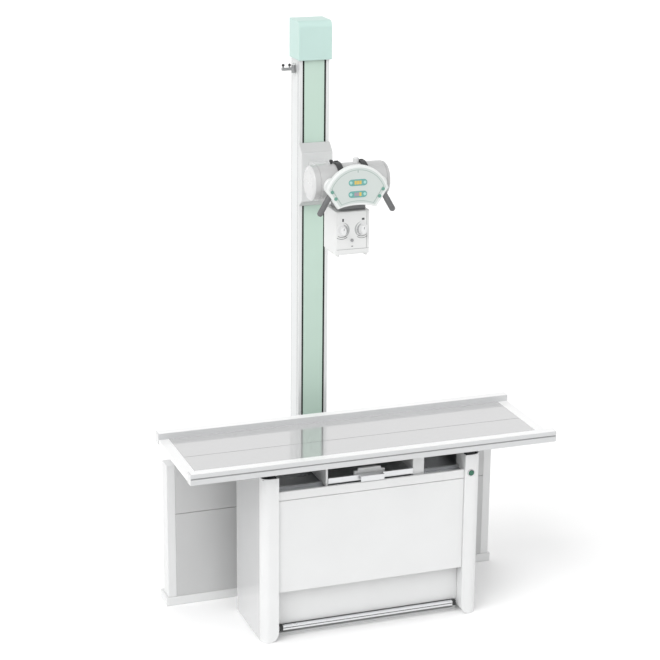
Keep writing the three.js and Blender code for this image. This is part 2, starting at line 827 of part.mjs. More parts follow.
// Rear wall on its plinth, with the upper column rail on its back and the floor rail behind it
function buildWall() {
  const wall = addBody(model, 0, 0, 0);
  const plinthX = around(0, wallLength + 2 * plinthOverhang);
  addPiece(wall, 'wall_plinth', block(plinthX, [plinthFrontY, plinthRearY], [0, plinthHeight]), whitePaint);
  for (const [name, side] of [['left', -1], ['right', 1]]) {
    const endX = between(side * wallPanelX, side * wallHalf);
    const endPost = block(endX, [wallFrontY, wallRearY], [plinthHeight, wallTop]);
    addPiece(wall, `wall_${name}_end`, endPost, whitePaint);
  }
  const panelX = around(0, 2 * wallPanelX);
  const sheetY = [wallFrontY, wallFrontY + wallSheet];
  const halfSeam = seamGap / 2;
  addPiece(wall, 'wall_lower_panel', block(panelX, sheetY, [plinthHeight, wallSeamZ - halfSeam]), whitePaint);
  addPiece(wall, 'wall_upper_panel', block(panelX, sheetY, [wallSeamZ + halfSeam, wallTop]), whitePaint);
  const back = outline([
    [wallRearY - wallBackSheet, plinthHeight],
    [wallRearY, plinthHeight],
    [wallRearY, wallTop],
    [wallFrontY + wallSheet, wallTop],
    [wallFrontY + wallSheet, wallTop - wallTopFlange],
    [wallRearY - wallBackSheet, wallTop - wallTopFlange],
  ]);
  addPiece(wall, 'wall_back_panel', prism('x', back, ...panelX), whitePaint);

  const railX = around(0, columnRailLength);
  const [railLow, railHigh] = around(upperRailZ, upperRailHeight);
  const [ridgeLow, ridgeHigh] = around(upperRailZ, upperRidgeHeight);
  const railFaceY = wallRearY + upperRailThickness;
  const upperRail = outline([
    [wallRearY, railLow],
    [railFaceY, railLow],
    [railFaceY, ridgeLow],
    [railFaceY + upperRidgeDepth, ridgeLow],
    [railFaceY + upperRidgeDepth, ridgeHigh],
    [railFaceY, ridgeHigh],
    [railFaceY, railHigh],
    [wallRearY, railHigh],
  ]);
  addPiece(wall, 'upper_column_rail', prism('x', upperRail, ...railX), steel);
  const ridge = (y) => {
    const [low, high] = around(y, floorRidgeWidth);
    const top = floorRailThickness + floorRidgeHeight;
    return [[high, floorRailThickness], [high, top], [low, top], [low, floorRailThickness]];
  };
  const floorRail = outline([
    [plinthRearY, 0],
    [plinthRearY + floorRailDepth, 0],
    [plinthRearY + floorRailDepth, floorRailThickness],
    ...ridge(floorRidgeRearY),
    ...ridge(floorRidgeFrontY),
    [plinthRearY, floorRailThickness],
  ]);
  addPiece(wall, 'floor_rail', prism('x', floorRail, ...railX), steel);
}

const floorRidgeFrontY = plinthRearY + floorRidgeInset;
const floorRidgeRearY = plinthRearY + floorRailDepth - floorRidgeInset;

// Trolley: a foot grooved over the floor rail and a back plate with a nose on the upper rail
function trolley() {
  const bottom = floorRailThickness + runGap;
  const grooveTop = floorRailThickness + floorRidgeHeight + runGap;
  const groove = (y) => {
    const [low, high] = around(y, floorRidgeWidth + 2 * runGap);
    return [[low, bottom], [low, grooveTop], [high, grooveTop], [high, bottom]];
  };
  const footFrontY = plinthRearY + trolleyFootGap;
  const footRearY = mastRearY + trolleyRearLip;
  const plateRearY = mastFrontY - runGap;
  const noseY = wallRearY + upperRailThickness + runGap;
  const notchY = noseY + upperRidgeDepth;
  const [noseLow, noseHigh] = around(upperRailZ, trolleyNoseHeight);
  const [notchLow, notchHigh] = around(upperRailZ, upperRidgeHeight + 2 * runGap);
  const section = outline([
    [footFrontY, bottom],
    ...groove(floorRidgeFrontY),
    ...groove(floorRidgeRearY),
    [footRearY, bottom],
    [footRearY, trolleyFootTop],
    [plateRearY, trolleyFootTop],
    [plateRearY, noseHigh],
    [noseY, noseHigh],
    [noseY, notchHigh],
    [notchY, notchHigh],
    [notchY, notchLow],
    [noseY, notchLow],
    [noseY, noseLow],
    [footFrontY, noseLow],
  ]);
  return prism('x', section, ...around(0, trolleyWidth));
}

// Mast: a channel open at the front, with two lugs for the cable arm on its left side
const cablePivotX = -mastHalf - cableLugReach + cableLugEnd;
const cablePivotY = mastFrontY + mastDepth / 2;
const cableLugTopZ = capBottom - cableLugTopDrop;
const cableHubTopZ = cableLugTopZ - cableLugThickness - runGap;
const cableHubBottomZ = cableHubTopZ - cableHubHeight;
const cableLugBottomZ = cableHubBottomZ - runGap - cableLugThickness;

function mast() {
  const lip = mastHalf - slotOffset - slotWidth / 2;
  const inner = mastHalf - mastWall;
  const channel = outline([
    [-mastHalf + lip, mastFrontY],
    [-mastHalf, mastFrontY],
    [-mastHalf, mastRearY],
    [mastHalf, mastRearY],
    [mastHalf, mastFrontY],
    [mastHalf - lip, mastFrontY],
    [mastHalf - lip, mastFrontY + mastWall],
    [inner, mastFrontY + mastWall],
    [inner, mastRearY - mastWall],
    [-inner, mastRearY - mastWall],
    [-inner, mastFrontY + mastWall],
    [-mastHalf + lip, mastFrontY + mastWall],
  ]);
  const lugX = [-mastHalf - cableLugReach, -mastHalf + mastWall / 2];
  const lugs = [cableLugBottomZ, cableLugTopZ - cableLugThickness].map((low) => {
    return block(lugX, around(cablePivotY, cableLugDepth), [low, low + cableLugThickness]);
  });
  const pinBore = [cableLugBottomZ - cutOver, cableLugTopZ + cutOver];
  const bore = rod('z', [cablePivotX, cablePivotY], cablePinRadius + runGap, ...pinBore, smallSides);
  return cut(join(prism('z', channel, trolleyFootTop, mastTop), ...lugs), bore);
}

// Cable arm: a hub on its pin, a flat arm and two hooks with round tips
function cableArm() {
  const pivot = [cablePivotX, cablePivotY];
  const armZ = around((cableHubBottomZ + cableHubTopZ) / 2, cableArmThickness);
  const armEndX = cablePivotX - cableArmReach;
  const hooks = [0, 1].flatMap((i) => {
    const x = armEndX + cableTipRadius + i * cableHookSpacing;
    const top = armZ[1] + cableHookTop;
    const tip = new THREE.SphereGeometry(cableTipRadius, smallSides, cornerSteps * 2);
    tip.translate(x, cablePivotY, top);
    return [rod('z', [x, cablePivotY], cableHookRadius, armZ[0] + cutOver, top, smallSides), tip];
  });
  return join(
    rod('z', pivot, cableHubRadius, cableHubBottomZ, cableHubTopZ, smallSides),
    rod('z', pivot, cablePinRadius, cableLugBottomZ, cableLugTopZ, smallSides),
    block([armEndX, cablePivotX], around(cablePivotY, cableArmThickness), armZ),
    ...hooks,
  );
}

// Cap over the top of the mast: a shell, open below, with a rounded front edge
function columnCap() {
  const shell = (inset, bottom) => {
    const frontY = mastFrontY - capFront + inset;
    const rearY = mastRearY + capRear - inset;
    const top = capTop - inset;
    const radius = capFrontRadius - inset;
    const shape = new THREE.Shape();
    shape.moveTo(rearY, bottom);
    shape.lineTo(rearY, top);
    shape.lineTo(frontY + radius, top);
    shape.absarc(frontY + radius, top - radius, radius, Math.PI / 2, Math.PI, false);
    shape.lineTo(frontY, bottom);
    return prism('x', shape, ...around(0, mastWidth + 2 * (capSide - inset)));
  };
  return cut(shell(0, capBottom), shell(capWall, capBottom - cutOver));
}

// Sheave block on the mast: a base across its walls and two cheeks up to the cap
function sheaveBlock() {
  const baseX = around(0, mastWidth - sheaveBaseLap);
  const baseZ = [mastTop, mastTop + sheaveBaseThickness];
  const cheekLow = sheaveWidth / 2 + sheaveCheekGap;
  const blockY = around(sheaveY, sheaveBaseDepth);
  const cheeks = [-1, 1].map((side) => {
    const cheekX = between(side * cheekLow, side * (cheekLow + sheaveCheek));
    return block(cheekX, blockY, [mastTop, capTop - capWall]);
  });
  const boreX = around(0, 2 * (cheekLow + sheaveCheek + cutOver));
  const bore = rod('x', [sheaveY, sheaveZ], sheaveAxleRadius + runGap, ...boreX, smallSides);
  return cut(join(block(baseX, blockY, baseZ), ...cheeks), bore);
}

// Rope sheave with its axle
function ropeSheave() {
  const half = sheaveWidth / 2;
  const axleEnd = half + sheaveCheekGap + sheaveCheek;
  const rim = sheaveRadius + sheaveRim;
  const profile = [
    [0, -axleEnd],
    [sheaveAxleRadius, -axleEnd],
    [sheaveAxleRadius, -half],
    [rim, -half],
    [sheaveRadius, 0],
    [rim, half],
    [sheaveAxleRadius, half],
    [sheaveAxleRadius, axleEnd],
    [0, axleEnd],
  ];
  return turned('x', profile).translate(0, sheaveY, sheaveZ);
}

function buildColumn() {
  const column = addBody(model, columnX, 0, 0);
  addPiece(column, 'trolley', trolley(), greyPaint);
  addPiece(column, 'mast', mast(), aluminium);
  const infillY = [mastFrontY, mastFrontY + mastWall];
  addPiece(column, 'mast_infill', block(around(0, infillWidth), infillY, [trolleyFootTop, mastTop]), mintPaint);
  addPiece(column, 'column_cap', columnCap(), mintPaint);
  addPiece(column, 'sheave_block', sheaveBlock(), steel);
  addPiece(column, 'rope_sheave', ropeSheave(), blackPlastic);
  addPiece(column, 'cable_arm', cableArm(), steel);
  const weightZ = [counterweightBottom, counterweightBottom + counterweightHeight];
  const weightY = [counterweightRearY - counterweightDepth, counterweightRearY];
  addPiece(column, 'counterweight', block(around(0, counterweightWidth), weightY, weightZ), castIron);
}

// Carriage: the cover in front of the mast, the truck inside it and the arm to the tube head
function buildCarriage() {
  const carriage = addBody(model, columnX, 0, tubeAxisZ);
  const cover = outline([
    [coverBackY, coverTopRise],
    [coverFrontY, coverTopRise - coverTopSlope],
    [coverFrontY, coverBottomSlope - coverBottomFall],
    [coverBackY, -coverBottomFall],
  ]);
  addPiece(carriage, 'carriage_cover', prism('x', cover, ...around(0, coverWidth)), greyPaint);

  const bladeOuter = slotOffset + truckBladeWidth / 2;
  const bladeInner = slotOffset - truckBladeWidth / 2;
  const glideX = mastHalf - mastWall - runGap;
  const right = [
    [bladeInner, truckFrontY],
    [bladeInner, coverBackY],
    [bladeOuter, coverBackY],
    [bladeOuter, truckFrontY],
    [glideX, truckFrontY],
    [glideX, truckRearY],
  ];
  const left = right.map(([x, y]) => [-x, y]).reverse();
  addPiece(carriage, 'carriage_truck', prism('z', outline([...right, ...left]), -truckFall, truckRise), steel);

  const armSection = roundedRectangle(around(0, armWidth), around(-armDrop, armHeight), armCorner);
  const arm = prism('y', armSection, armEndY, coverFrontY);
  const socketY = [armEndY - cutOver, armEndY + spigotLength + cutOver];
  const socket = rod('y', [0, -armDrop], spigotRadius + runGap, ...socketY);
  addPiece(carriage, 'tube_arm', cut(arm, socket), greyPaint);
}

// Tube housing with end bands, the yoke and spigot at the back and the port neck below
function tubeHousing() {
  const left = -tubeLeftReach;
  const right = tubeRightReach;
  const bandRadius = tubeRadius - tubeEndStep;
  const leftBand = left + tubeLeftBand;
  const rightBand = right - tubeRightBand;
  const profile = [
    [0, left],
    [bandRadius - tubeEndRound, left],
    [bandRadius - tubeEndRound / 3, left + tubeEndRound / 3],
    [bandRadius, left + tubeEndRound],
    [bandRadius, leftBand],
    [tubeRadius, leftBand + tubeBandGroove],
    [tubeRadius, rightBand - tubeBandGroove],
    [bandRadius, rightBand],
    [bandRadius, right - tubeEndRound],
    [bandRadius - tubeEndRound / 3, right - tubeEndRound / 3],
    [bandRadius - tubeEndRound, right],
    [0, right],
  ];
  return join(
    turned('x', profile, roundSides + cornerSteps),
    rod('y', [0, -armDrop], yokeRadius, 0, yokeEndY),
    rod('y', [0, -armDrop], spigotRadius, 0, armEndY + spigotLength),
    rod('z', [0, 0], neckRadius, -neckFall, 0),
  );
}

// Outline of a rectangle with rounded corners
function roundedRectangle([x0, x1], [y0, y1], radius) {
  const shape = new THREE.Shape();
  shape.moveTo(x0 + radius, y0);
  shape.lineTo(x1 - radius, y0);
  shape.absarc(x1 - radius, y0 + radius, radius, -Math.PI / 2, 0, false);
  shape.lineTo(x1, y1 - radius);
  shape.absarc(x1 - radius, y1 - radius, radius, 0, Math.PI / 2, false);
  shape.lineTo(x0 + radius, y1);
  shape.absarc(x0 + radius, y1 - radius, radius, Math.PI / 2, Math.PI, false);
  shape.lineTo(x0, y0 + radius);
  shape.absarc(x0 + radius, y0 + radius, radius, Math.PI, 1.5 * Math.PI, false);
  return shape;
}

const cornerAngle = THREE.MathUtils.degToRad(consoleCornerAngle);
const consoleCorner = [
  consoleArcRadius * Math.cos(cornerAngle),
  consoleArcRadius * Math.sin(cornerAngle) - consoleArcFall,
];
const consoleFoot = [consoleBottomHalf, -consoleBottomFall];
const consoleFrontY = panelBackY - consoleThickness;

// Fan outline of the control panel: a wide arc above, straight sides, a shallow hollow arc below
function fanOutline() {
  const shape = new THREE.Shape();
  const half = consoleBottomHalf;
  const bottomRadius = (half * half + consoleBottomRise * consoleBottomRise) / (2 * consoleBottomRise);
  const bottomAngle = Math.asin(half / bottomRadius);
  const bottomCentre = -consoleBottomFall + consoleBottomRise - bottomRadius;
  shape.moveTo(...consoleFoot);
  shape.lineTo(...consoleCorner);
  shape.absarc(0, -consoleArcFall, consoleArcRadius, cornerAngle, Math.PI - cornerAngle, false);
  shape.lineTo(-consoleFoot[0], consoleFoot[1]);
  shape.absarc(0, bottomCentre, bottomRadius, Math.PI / 2 + bottomAngle, Math.PI / 2 - bottomAngle, true);
  return shape;
}

// Round-ended outline lying along x
function capsuleOutline(middleZ) {
  const radius = capsuleHeight / 2;
  const reach = capsuleLength / 2 - radius;
  const shape = new THREE.Shape();
  shape.moveTo(-reach, middleZ - radius);
  shape.lineTo(reach, middleZ - radius);
  shape.absarc(reach, middleZ, radius, -Math.PI / 2, Math.PI / 2, false);
  shape.lineTo(-reach, middleZ + radius);
  shape.absarc(-reach, middleZ, radius, Math.PI / 2, 1.5 * Math.PI, false);
  return shape;
}

const thumbPlaces = [
  ['left_upper', -1, thumbUpper],
  ['left_lower', -1, thumbLower],
  ['right_upper', 1, thumbUpper],
  ['right_lower', 1, thumbLower],
];

// Control panel: the fan, two raised capsules, two straps over the tube and the holes of the thumb buttons
function controlPanel() {
  const fan = prism('y', fanOutline(), consoleFrontY, panelBackY, consoleBevel);
  const capsules = [capsuleRise, -capsuleFall].map((z) => {
    return prism('y', capsuleOutline(z), consoleFrontY - capsuleProud, consoleFrontY + consoleBevel);
  });
  const innerRadius = tubeRadius + runGap;
  const straps = [-1, 1].map((side) => {
    const band = new THREE.Shape();
    band.absarc(0, 0, innerRadius + strapThickness, Math.PI / 3, Math.PI, false);
    band.absarc(0, 0, innerRadius, Math.PI, Math.PI / 3, true);
    return prism('x', band, ...around(side * strapOffset, strapWidth));
  });
  const bore = [consoleFrontY - cutOver, consoleFrontY + thumbHoleDepth];
  const holes = thumbPlaces.map(([, side, [x, z]]) => {
    return rod('y', [side * x, z], thumbRadius + runGap, ...bore, smallSides);
  });
  return cut(join(fan, ...capsules, ...straps), ...holes);
}

// Grip that leaves the slanted side of the control panel, pointing down and out
function panelGrip(side) {
  const middleY = (panelBackY + consoleFrontY) / 2;
  const along = [consoleFoot[0] - consoleCorner[0], consoleFoot[1] - consoleCorner[1]];
  const edgeLength = Math.hypot(...along);
  const outward = [-along[1] / edgeLength, along[0] / edgeLength];
  const root = [0, 1].map((i) => consoleCorner[i] + along[i] * gripRootAlong);
  const profile = [
    [0, -gripRadius * 2],
    [gripRadius, -gripRadius * 2],
    [gripRadius, gripLength - gripRadius / 2],
    [gripRadius / 2, gripLength],
    [0, gripLength],
  ];
  const bar = turned('y', profile, smallSides);
  bar.rotateX(-Math.PI / 2);
  bar.rotateY(-side * THREE.MathUtils.degToRad(gripTilt));
  bar.translate(side * root[0], middleY, root[1]);
  const edge = [consoleCorner, consoleFoot].map(([x, z]) => [x + outward[0] * runGap, z + outward[1] * runGap]);
  const inner = [
    [edge[0][0] - along[0], edge[0][1] - along[1]],
    [edge[1][0] + along[0], edge[1][1] + along[1]],
    [edge[1][0] + along[0] - outward[0] * edgeLength, edge[1][1] + along[1] - outward[1] * edgeLength],
    [edge[0][0] - along[0] - outward[0] * edgeLength, edge[0][1] - along[1] - outward[1] * edgeLength],
  ];
  const tool = outline(inner.map(([x, z]) => [side * x, z]));
  return cut(bar, prism('y', tool, consoleFrontY - consoleThickness, panelBackY + consoleThickness));
}

function buildHead() {
  const head = addBody(model, columnX, 0, tubeAxisZ);
  addPiece(head, 'tube_housing', tubeHousing(), greyPaint);
  const flangePlan = roundedRectangle(around(0, 2 * flangeHalfWidth), [-flangeFront, flangeRear], flangeRadius);
  const flange = prism('z', flangePlan, -neckFall - flangeThickness, -neckFall);
  addPiece(head, 'collimator_flange', flange, darkPlastic);
  addPiece(head, 'control_panel', controlPanel(), whitePaint);
  addPiece(head, 'left_grip', panelGrip(-1), darkPlastic);
  addPiece(head, 'right_grip', panelGrip(1), darkPlastic);
  const thumbY = consoleFrontY - thumbProud;
  for (const [name, side, [x, z]] of thumbPlaces) {
    const button = rod('y', [side * x, z], thumbRadius, thumbY, thumbY + thumbLength, smallSides);
    addPiece(head, `${name}_thumb_button`, button, greenPlastic);
  }
}

// Collimator box with its window recess, accessory rails and the holes of its controls
function collimatorBody() {
  const sides = [-collimatorLeft, collimatorRight];
  const bottom = collimatorTop - collimatorHeight;
  const middleY = (collimatorRear - collimatorFront) / 2;
  const plan = roundedRectangle(sides, [-collimatorFront, collimatorRear], collimatorRadius);
  const shell = prism('z', plan, bottom, collimatorTop);
  const railY = [-collimatorFront + collimatorRadius, collimatorRear - collimatorRadius];
  const rails = sides.map((edge) => {
    const outer = edge - Math.sign(edge) * accessoryRailInset;
    const inner = outer - Math.sign(edge) * accessoryRailWidth;
    return block(between(inner, outer), railY, [bottom - accessoryRailHeight, bottom + cutOver]);
  });
  const windowZ = [bottom - cutOver, bottom + windowRecess];
  const windowCut = block(around(0, windowWidth), around(middleY, windowDepth), windowZ);
  const shaftBore = [-collimatorFront - cutOver, -collimatorFront + knobShaftLength + cutOver];
  const shafts = [-1, 1].map((side) => {
    const place = [controlMiddle + side * knobOffset, collimatorTop - knobFall];
    return rod('y', place, knobShaftRadius + runGap, ...shaftBore, smallSides);
  });
  const lampBore = [-collimatorFront - cutOver, -collimatorFront + lampButtonHoleDepth];
  const lampPlace = [controlMiddle, collimatorTop - lampButtonFall];
  const lampHole = rod('y', lampPlace, lampButtonRadius + runGap, ...lampBore, smallSides);
  return cut(join(shell, ...rails), windowCut, lampHole, ...shafts);
}

// Field knob: a shaft, a flat dial skirt and a grip
function fieldKnob(side) {
  const face = -collimatorFront - runGap;
  const skirtFront = face - knobSkirtThickness;
  const skirt = turned('y', [
    [0, skirtFront],
    [knobSkirtRadius, skirtFront],
    [knobSkirtRadius, face],
    [knobShaftRadius, face],
    [knobShaftRadius, face + knobShaftLength],
    [0, face + knobShaftLength],
  ]);
  const turns = Array.from({ length: smallSides }, (_, i) => 2 * Math.PI * i / smallSides);
  const oval = outline(turns.map((a) => [knobHalfWidth * Math.cos(a), knobHalfHeight * Math.sin(a)]));
  const grip = prism('y', oval, skirtFront - knobHeight, skirtFront + knobCrown, knobCrown);
  return join(skirt, grip).translate(controlMiddle + side * knobOffset, 0, collimatorTop - knobFall);
}

function buildCollimator() {
  const collimator = addBody(model, columnX, 0, tubeAxisZ);
  addPiece(collimator, 'collimator_body', collimatorBody(), whitePaint);
  addPiece(collimator, 'left_knob', fieldKnob(-1), whitePaint);
  addPiece(collimator, 'right_knob', fieldKnob(1), whitePaint);
  const lampY = -collimatorFront - lampButtonProud;
  const lampPlace = [controlMiddle, collimatorTop - lampButtonFall];
  const lamp = rod('y', lampPlace, lampButtonRadius, lampY, lampY + lampButtonLength, smallSides);
  addPiece(collimator, 'lamp_button', lamp, darkPlastic);
}

buildPedestal();
buildBucky();
buildControlsOnPedestal();
buildTop();
buildWall();
buildColumn();
buildCarriage();
buildHead();
buildCollimator();

export default model;
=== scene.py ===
import json
from math import asin, cos, pi, radians, sin

import bmesh
import bpy
from mathutils import Euler, Matrix, Vector

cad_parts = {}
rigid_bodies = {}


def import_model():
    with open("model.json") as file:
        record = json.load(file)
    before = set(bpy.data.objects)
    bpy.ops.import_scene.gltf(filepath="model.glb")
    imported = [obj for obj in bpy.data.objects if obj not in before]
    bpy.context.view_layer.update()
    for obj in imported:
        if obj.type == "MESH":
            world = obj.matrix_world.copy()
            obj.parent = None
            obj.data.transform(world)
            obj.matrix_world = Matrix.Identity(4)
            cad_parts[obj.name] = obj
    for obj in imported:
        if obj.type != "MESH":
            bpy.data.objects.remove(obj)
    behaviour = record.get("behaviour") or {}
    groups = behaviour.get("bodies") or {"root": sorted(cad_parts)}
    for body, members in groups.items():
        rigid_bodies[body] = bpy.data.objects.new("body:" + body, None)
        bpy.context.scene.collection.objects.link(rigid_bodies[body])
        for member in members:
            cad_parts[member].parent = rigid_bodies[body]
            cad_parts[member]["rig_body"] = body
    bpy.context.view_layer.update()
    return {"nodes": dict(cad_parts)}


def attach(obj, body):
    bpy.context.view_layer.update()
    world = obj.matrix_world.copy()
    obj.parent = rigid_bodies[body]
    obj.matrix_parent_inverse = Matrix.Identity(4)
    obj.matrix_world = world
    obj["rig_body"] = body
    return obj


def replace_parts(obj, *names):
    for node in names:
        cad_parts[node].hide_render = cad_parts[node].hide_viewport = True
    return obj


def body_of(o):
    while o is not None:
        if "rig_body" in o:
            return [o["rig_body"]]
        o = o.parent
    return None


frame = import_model()
scene = bpy.context.scene

# Studio: a pale seamless floor under a white surround, a broad sun from the front left, a weaker one from the
# front right and soft sky light, stronger from behind. What sees or mirrors the surround finds it plain white.
# The camera stands high in front of the left end of the table, with a long lens.
camera_data = bpy.data.cameras.new("camera")
camera_data.sensor_width = 36.0
camera_data.lens = 107.35
camera_data.clip_end = 200.0
camera_data.dof.use_dof = False
camera = bpy.data.objects.new("camera", camera_data)
camera_place = (-2.9289, -7.7484, 3.9077)
camera_drop, camera_yaw, camera_lean = 17.23, -19.86, 0.508
camera_turn = Euler((radians(90 - camera_drop), 0, radians(camera_yaw))).to_matrix().to_4x4()
camera_roll = Matrix.Rotation(radians(camera_lean), 4, "Z")
camera.matrix_world = Matrix.Translation(camera_place) @ camera_turn @ camera_roll
scene.collection.objects.link(camera)
scene.camera = camera
scene.view_settings.view_transform = "Standard"
scene.cycles.use_denoising = True

world = bpy.data.worlds.new("surround")
scene.world = world
world.use_nodes = True
sky_nodes, sky_links = world.node_tree.nodes, world.node_tree.links
sky_nodes.clear()
sky_out = sky_nodes.new("ShaderNodeOutputWorld")
sky_mix = sky_nodes.new("ShaderNodeMixShader")
sky_path = sky_nodes.new("ShaderNodeLightPath")
sky_light = sky_nodes.new("ShaderNodeBackground")
sky_light.inputs["Color"].default_value = (1, 1, 1, 1)
sky_place = sky_nodes.new("ShaderNodeTexCoord")
sky_axes = sky_nodes.new("ShaderNodeSeparateXYZ")
sky_links.new(sky_place.outputs["Generated"], sky_axes.inputs["Vector"])
sky_rise = sky_nodes.new("ShaderNodeMapRange")
sky_rise.interpolation_type = "SMOOTHSTEP"
sky_rise.inputs["From Min"].default_value = 0.60
sky_rise.inputs["From Max"].default_value = 0.84
sky_rise.inputs["To Min"].default_value = 0.60
sky_rise.inputs["To Max"].default_value = 1.60
sky_links.new(sky_axes.outputs["Y"], sky_rise.inputs["Value"])
sky_links.new(sky_rise.outputs["Result"], sky_light.inputs["Strength"])
sky_white = sky_nodes.new("ShaderNodeBackground")
sky_white.inputs["Color"].default_value = (1, 1, 1, 1)
sky_white.inputs["Strength"].default_value = 1.0
sky_seen = sky_path.outputs["Is Camera Ray"]
for ray in ("Is Glossy Ray", "Is Transmission Ray"):
    sky_either = sky_nodes.new("ShaderNodeMath")
    sky_either.operation = "MAXIMUM"
    sky_links.new(sky_seen, sky_either.inputs[0])
    sky_links.new(sky_path.outputs[ray], sky_either.inputs[1])
    sky_seen = sky_either.outputs["Value"]
sky_links.new(sky_seen, sky_mix.inputs["Fac"])
sky_links.new(sky_light.outputs["Background"], sky_mix.inputs[1])
sky_links.new(sky_white.outputs["Background"], sky_mix.inputs[2])
sky_links.new(sky_mix.outputs["Shader"], sky_out.inputs["Surface"])

for sun_name, sun_strength, sun_angle, sun_turn in (
    ("key_sun", 1.65, 45.0, (radians(49), 0, radians(-58))),
    ("fill_sun", 0.55, 60.0, (radians(50), 0, radians(36))),
):
    sun_data = bpy.data.lights.new(sun_name, "SUN")
    sun_data.energy = sun_strength
    sun_data.angle = radians(sun_angle)
    sun = bpy.data.objects.new(sun_name, sun_data)
    sun.rotation_euler = sun_turn
    scene.collection.objects.link(sun)

floor_half, floor_z = 60.0, -0.0005
floor_mesh = bpy.data.meshes.new("floor")
floor_signs = [(-1, -1), (1, -1), (1, 1), (-1, 1)]
floor_corners = [(x * floor_half, y * floor_half, floor_z) for x, y in floor_signs]
floor_mesh.from_pydata(floor_corners, [], [(0, 1, 2, 3)])
floor = bpy.data.objects.new("floor", floor_mesh)
scene.collection.objects.link(floor)
floor_material = bpy.data.materials.new("floor_paint")
floor_material.use_nodes = True
floor_shader = floor_material.node_tree.nodes["Principled BSDF"]
floor_shader.inputs["Base Color"].default_value = (0.95, 0.95, 0.95, 1)
floor_shader.inputs["Emission Color"].default_value = (1, 1, 1, 1)
floor_shader.inputs["Emission Strength"].default_value = 0.06
floor_shader.inputs["Roughness"].default_value = 0.85
floor_mesh.materials.append(floor_material)


# Front posts: hollow pressed-steel columns with a broad rounded outer corner and a rounded inner foot, powder
# coated white. Thin black sheets on their tops are painted shade for the shadow of the table top. They are
# welded to the base and carry the front covers.
def paint(name, color, roughness, grain=900.0, bump=0.05, coat=0.0, metallic=0.0, stretch=(1, 1, 1),
          cloud=0.05):
    """A surface with fine grain, slow roughness changes and a little unevenness of colour."""
    sway = 0.07
    material = bpy.data.materials.new(name)
    material.use_nodes = True
    nodes, links = material.node_tree.nodes, material.node_tree.links
    shader = nodes["Principled BSDF"]
    place = nodes.new("ShaderNodeTexCoord")
    mapping = nodes.new("ShaderNodeMapping")
    mapping.inputs["Scale"].default_value = stretch
    links.new(place.outputs["Object"], mapping.inputs["Vector"])
    fine = nodes.new("ShaderNodeTexNoise")
    fine.inputs["Scale"].default_value = grain
    fine.inputs["Detail"].default_value = 3.0
    links.new(mapping.outputs["Vector"], fine.inputs["Vector"])
    slow = nodes.new("ShaderNodeTexNoise")
    slow.inputs["Scale"].default_value = 4.0
    slow.inputs["Detail"].default_value = 5.0
    links.new(place.outputs["Object"], slow.inputs["Vector"])
    spread = nodes.new("ShaderNodeMapRange")
    spread.inputs["To Min"].default_value = max(roughness - sway, 0.02)
    spread.inputs["To Max"].default_value = roughness + sway
    links.new(slow.outputs["Fac"], spread.inputs["Value"])
    links.new(spread.outputs["Result"], shader.inputs["Roughness"])
    tint = nodes.new("ShaderNodeMix")
    tint.data_type = "RGBA"
    tint.inputs["A"].default_value = (*[min(c * (1 + cloud), 1.0) for c in color], 1)
    tint.inputs["B"].default_value = (*[c * (1 - cloud) for c in color], 1)
    links.new(slow.outputs["Fac"], tint.inputs["Factor"])
    links.new(tint.outputs["Result"], shader.inputs["Base Color"])
    relief = nodes.new("ShaderNodeBump")
    relief.inputs["Strength"].default_value = bump
    relief.inputs["Distance"].default_value = 0.0004
    links.new(fine.outputs["Fac"], relief.inputs["Height"])
    links.new(relief.outputs["Normal"], shader.inputs["Normal"])
    shader.inputs["Metallic"].default_value = metallic
    shader.inputs["Coat Weight"].default_value = coat
    shader.inputs["Coat Roughness"].default_value = 0.08
    return material


def show(name, bm, material, body, soft_angle=32.0):
    """A finished mesh as a piece that rides on a body."""
    bmesh.ops.recalc_face_normals(bm, faces=bm.faces)
    for face in bm.faces:
        face.smooth = True
    mesh = bpy.data.meshes.new(name)
    bm.to_mesh(mesh)
    bm.free()
    mesh.set_sharp_from_angle(angle=radians(soft_angle))
    mesh.materials.append(material)
    piece = bpy.data.objects.new(name, mesh)
    scene.collection.objects.link(piece)
    weights = piece.modifiers.new("weights", "WEIGHTED_NORMAL")
    weights.keep_sharp = True
    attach(piece, body)
    return piece


def skin(node, material, bevel=0.0015, segments=2):
    """A CAD node with its sharp edges eased, standing for the node."""
    source = frame["nodes"][node]
    bm = bmesh.new()
    bm.from_mesh(source.data)
    bmesh.ops.remove_doubles(bm, verts=bm.verts, dist=2e-6)
    bmesh.ops.dissolve_limit(bm, angle_limit=radians(0.6), verts=bm.verts, edges=bm.edges)
    sharp = [e for e in bm.edges if len(e.link_faces) == 2 and e.calc_face_angle() > radians(32)]
    if bevel and sharp:
        bmesh.ops.bevel(bm, geom=sharp, offset=bevel, offset_type="OFFSET", segments=segments, profile=0.5,
                        affect="EDGES", clamp_overlap=True, material=-1)
    piece = show(node + "_skin", bm, material, body_of(source)[0])
    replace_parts(piece, node)


def add_box(bm, low, high, bevel=0.0):
    """A block between two corners, its edges eased, added to a mesh."""
    size = [high[i] - low[i] for i in range(3)]
    middle = [(high[i] + low[i]) / 2 for i in range(3)]
    matrix = Matrix.Translation(middle) @ Matrix.Diagonal((*size, 1))
    made = bmesh.ops.create_cube(bm, size=1.0, matrix=matrix)
    if bevel:
        edges = list({e for v in made["verts"] for e in v.link_edges})
        bmesh.ops.bevel(bm, geom=edges, offset=bevel, offset_type="OFFSET", segments=2, profile=0.5,
                        affect="EDGES", clamp_overlap=True, material=-1)


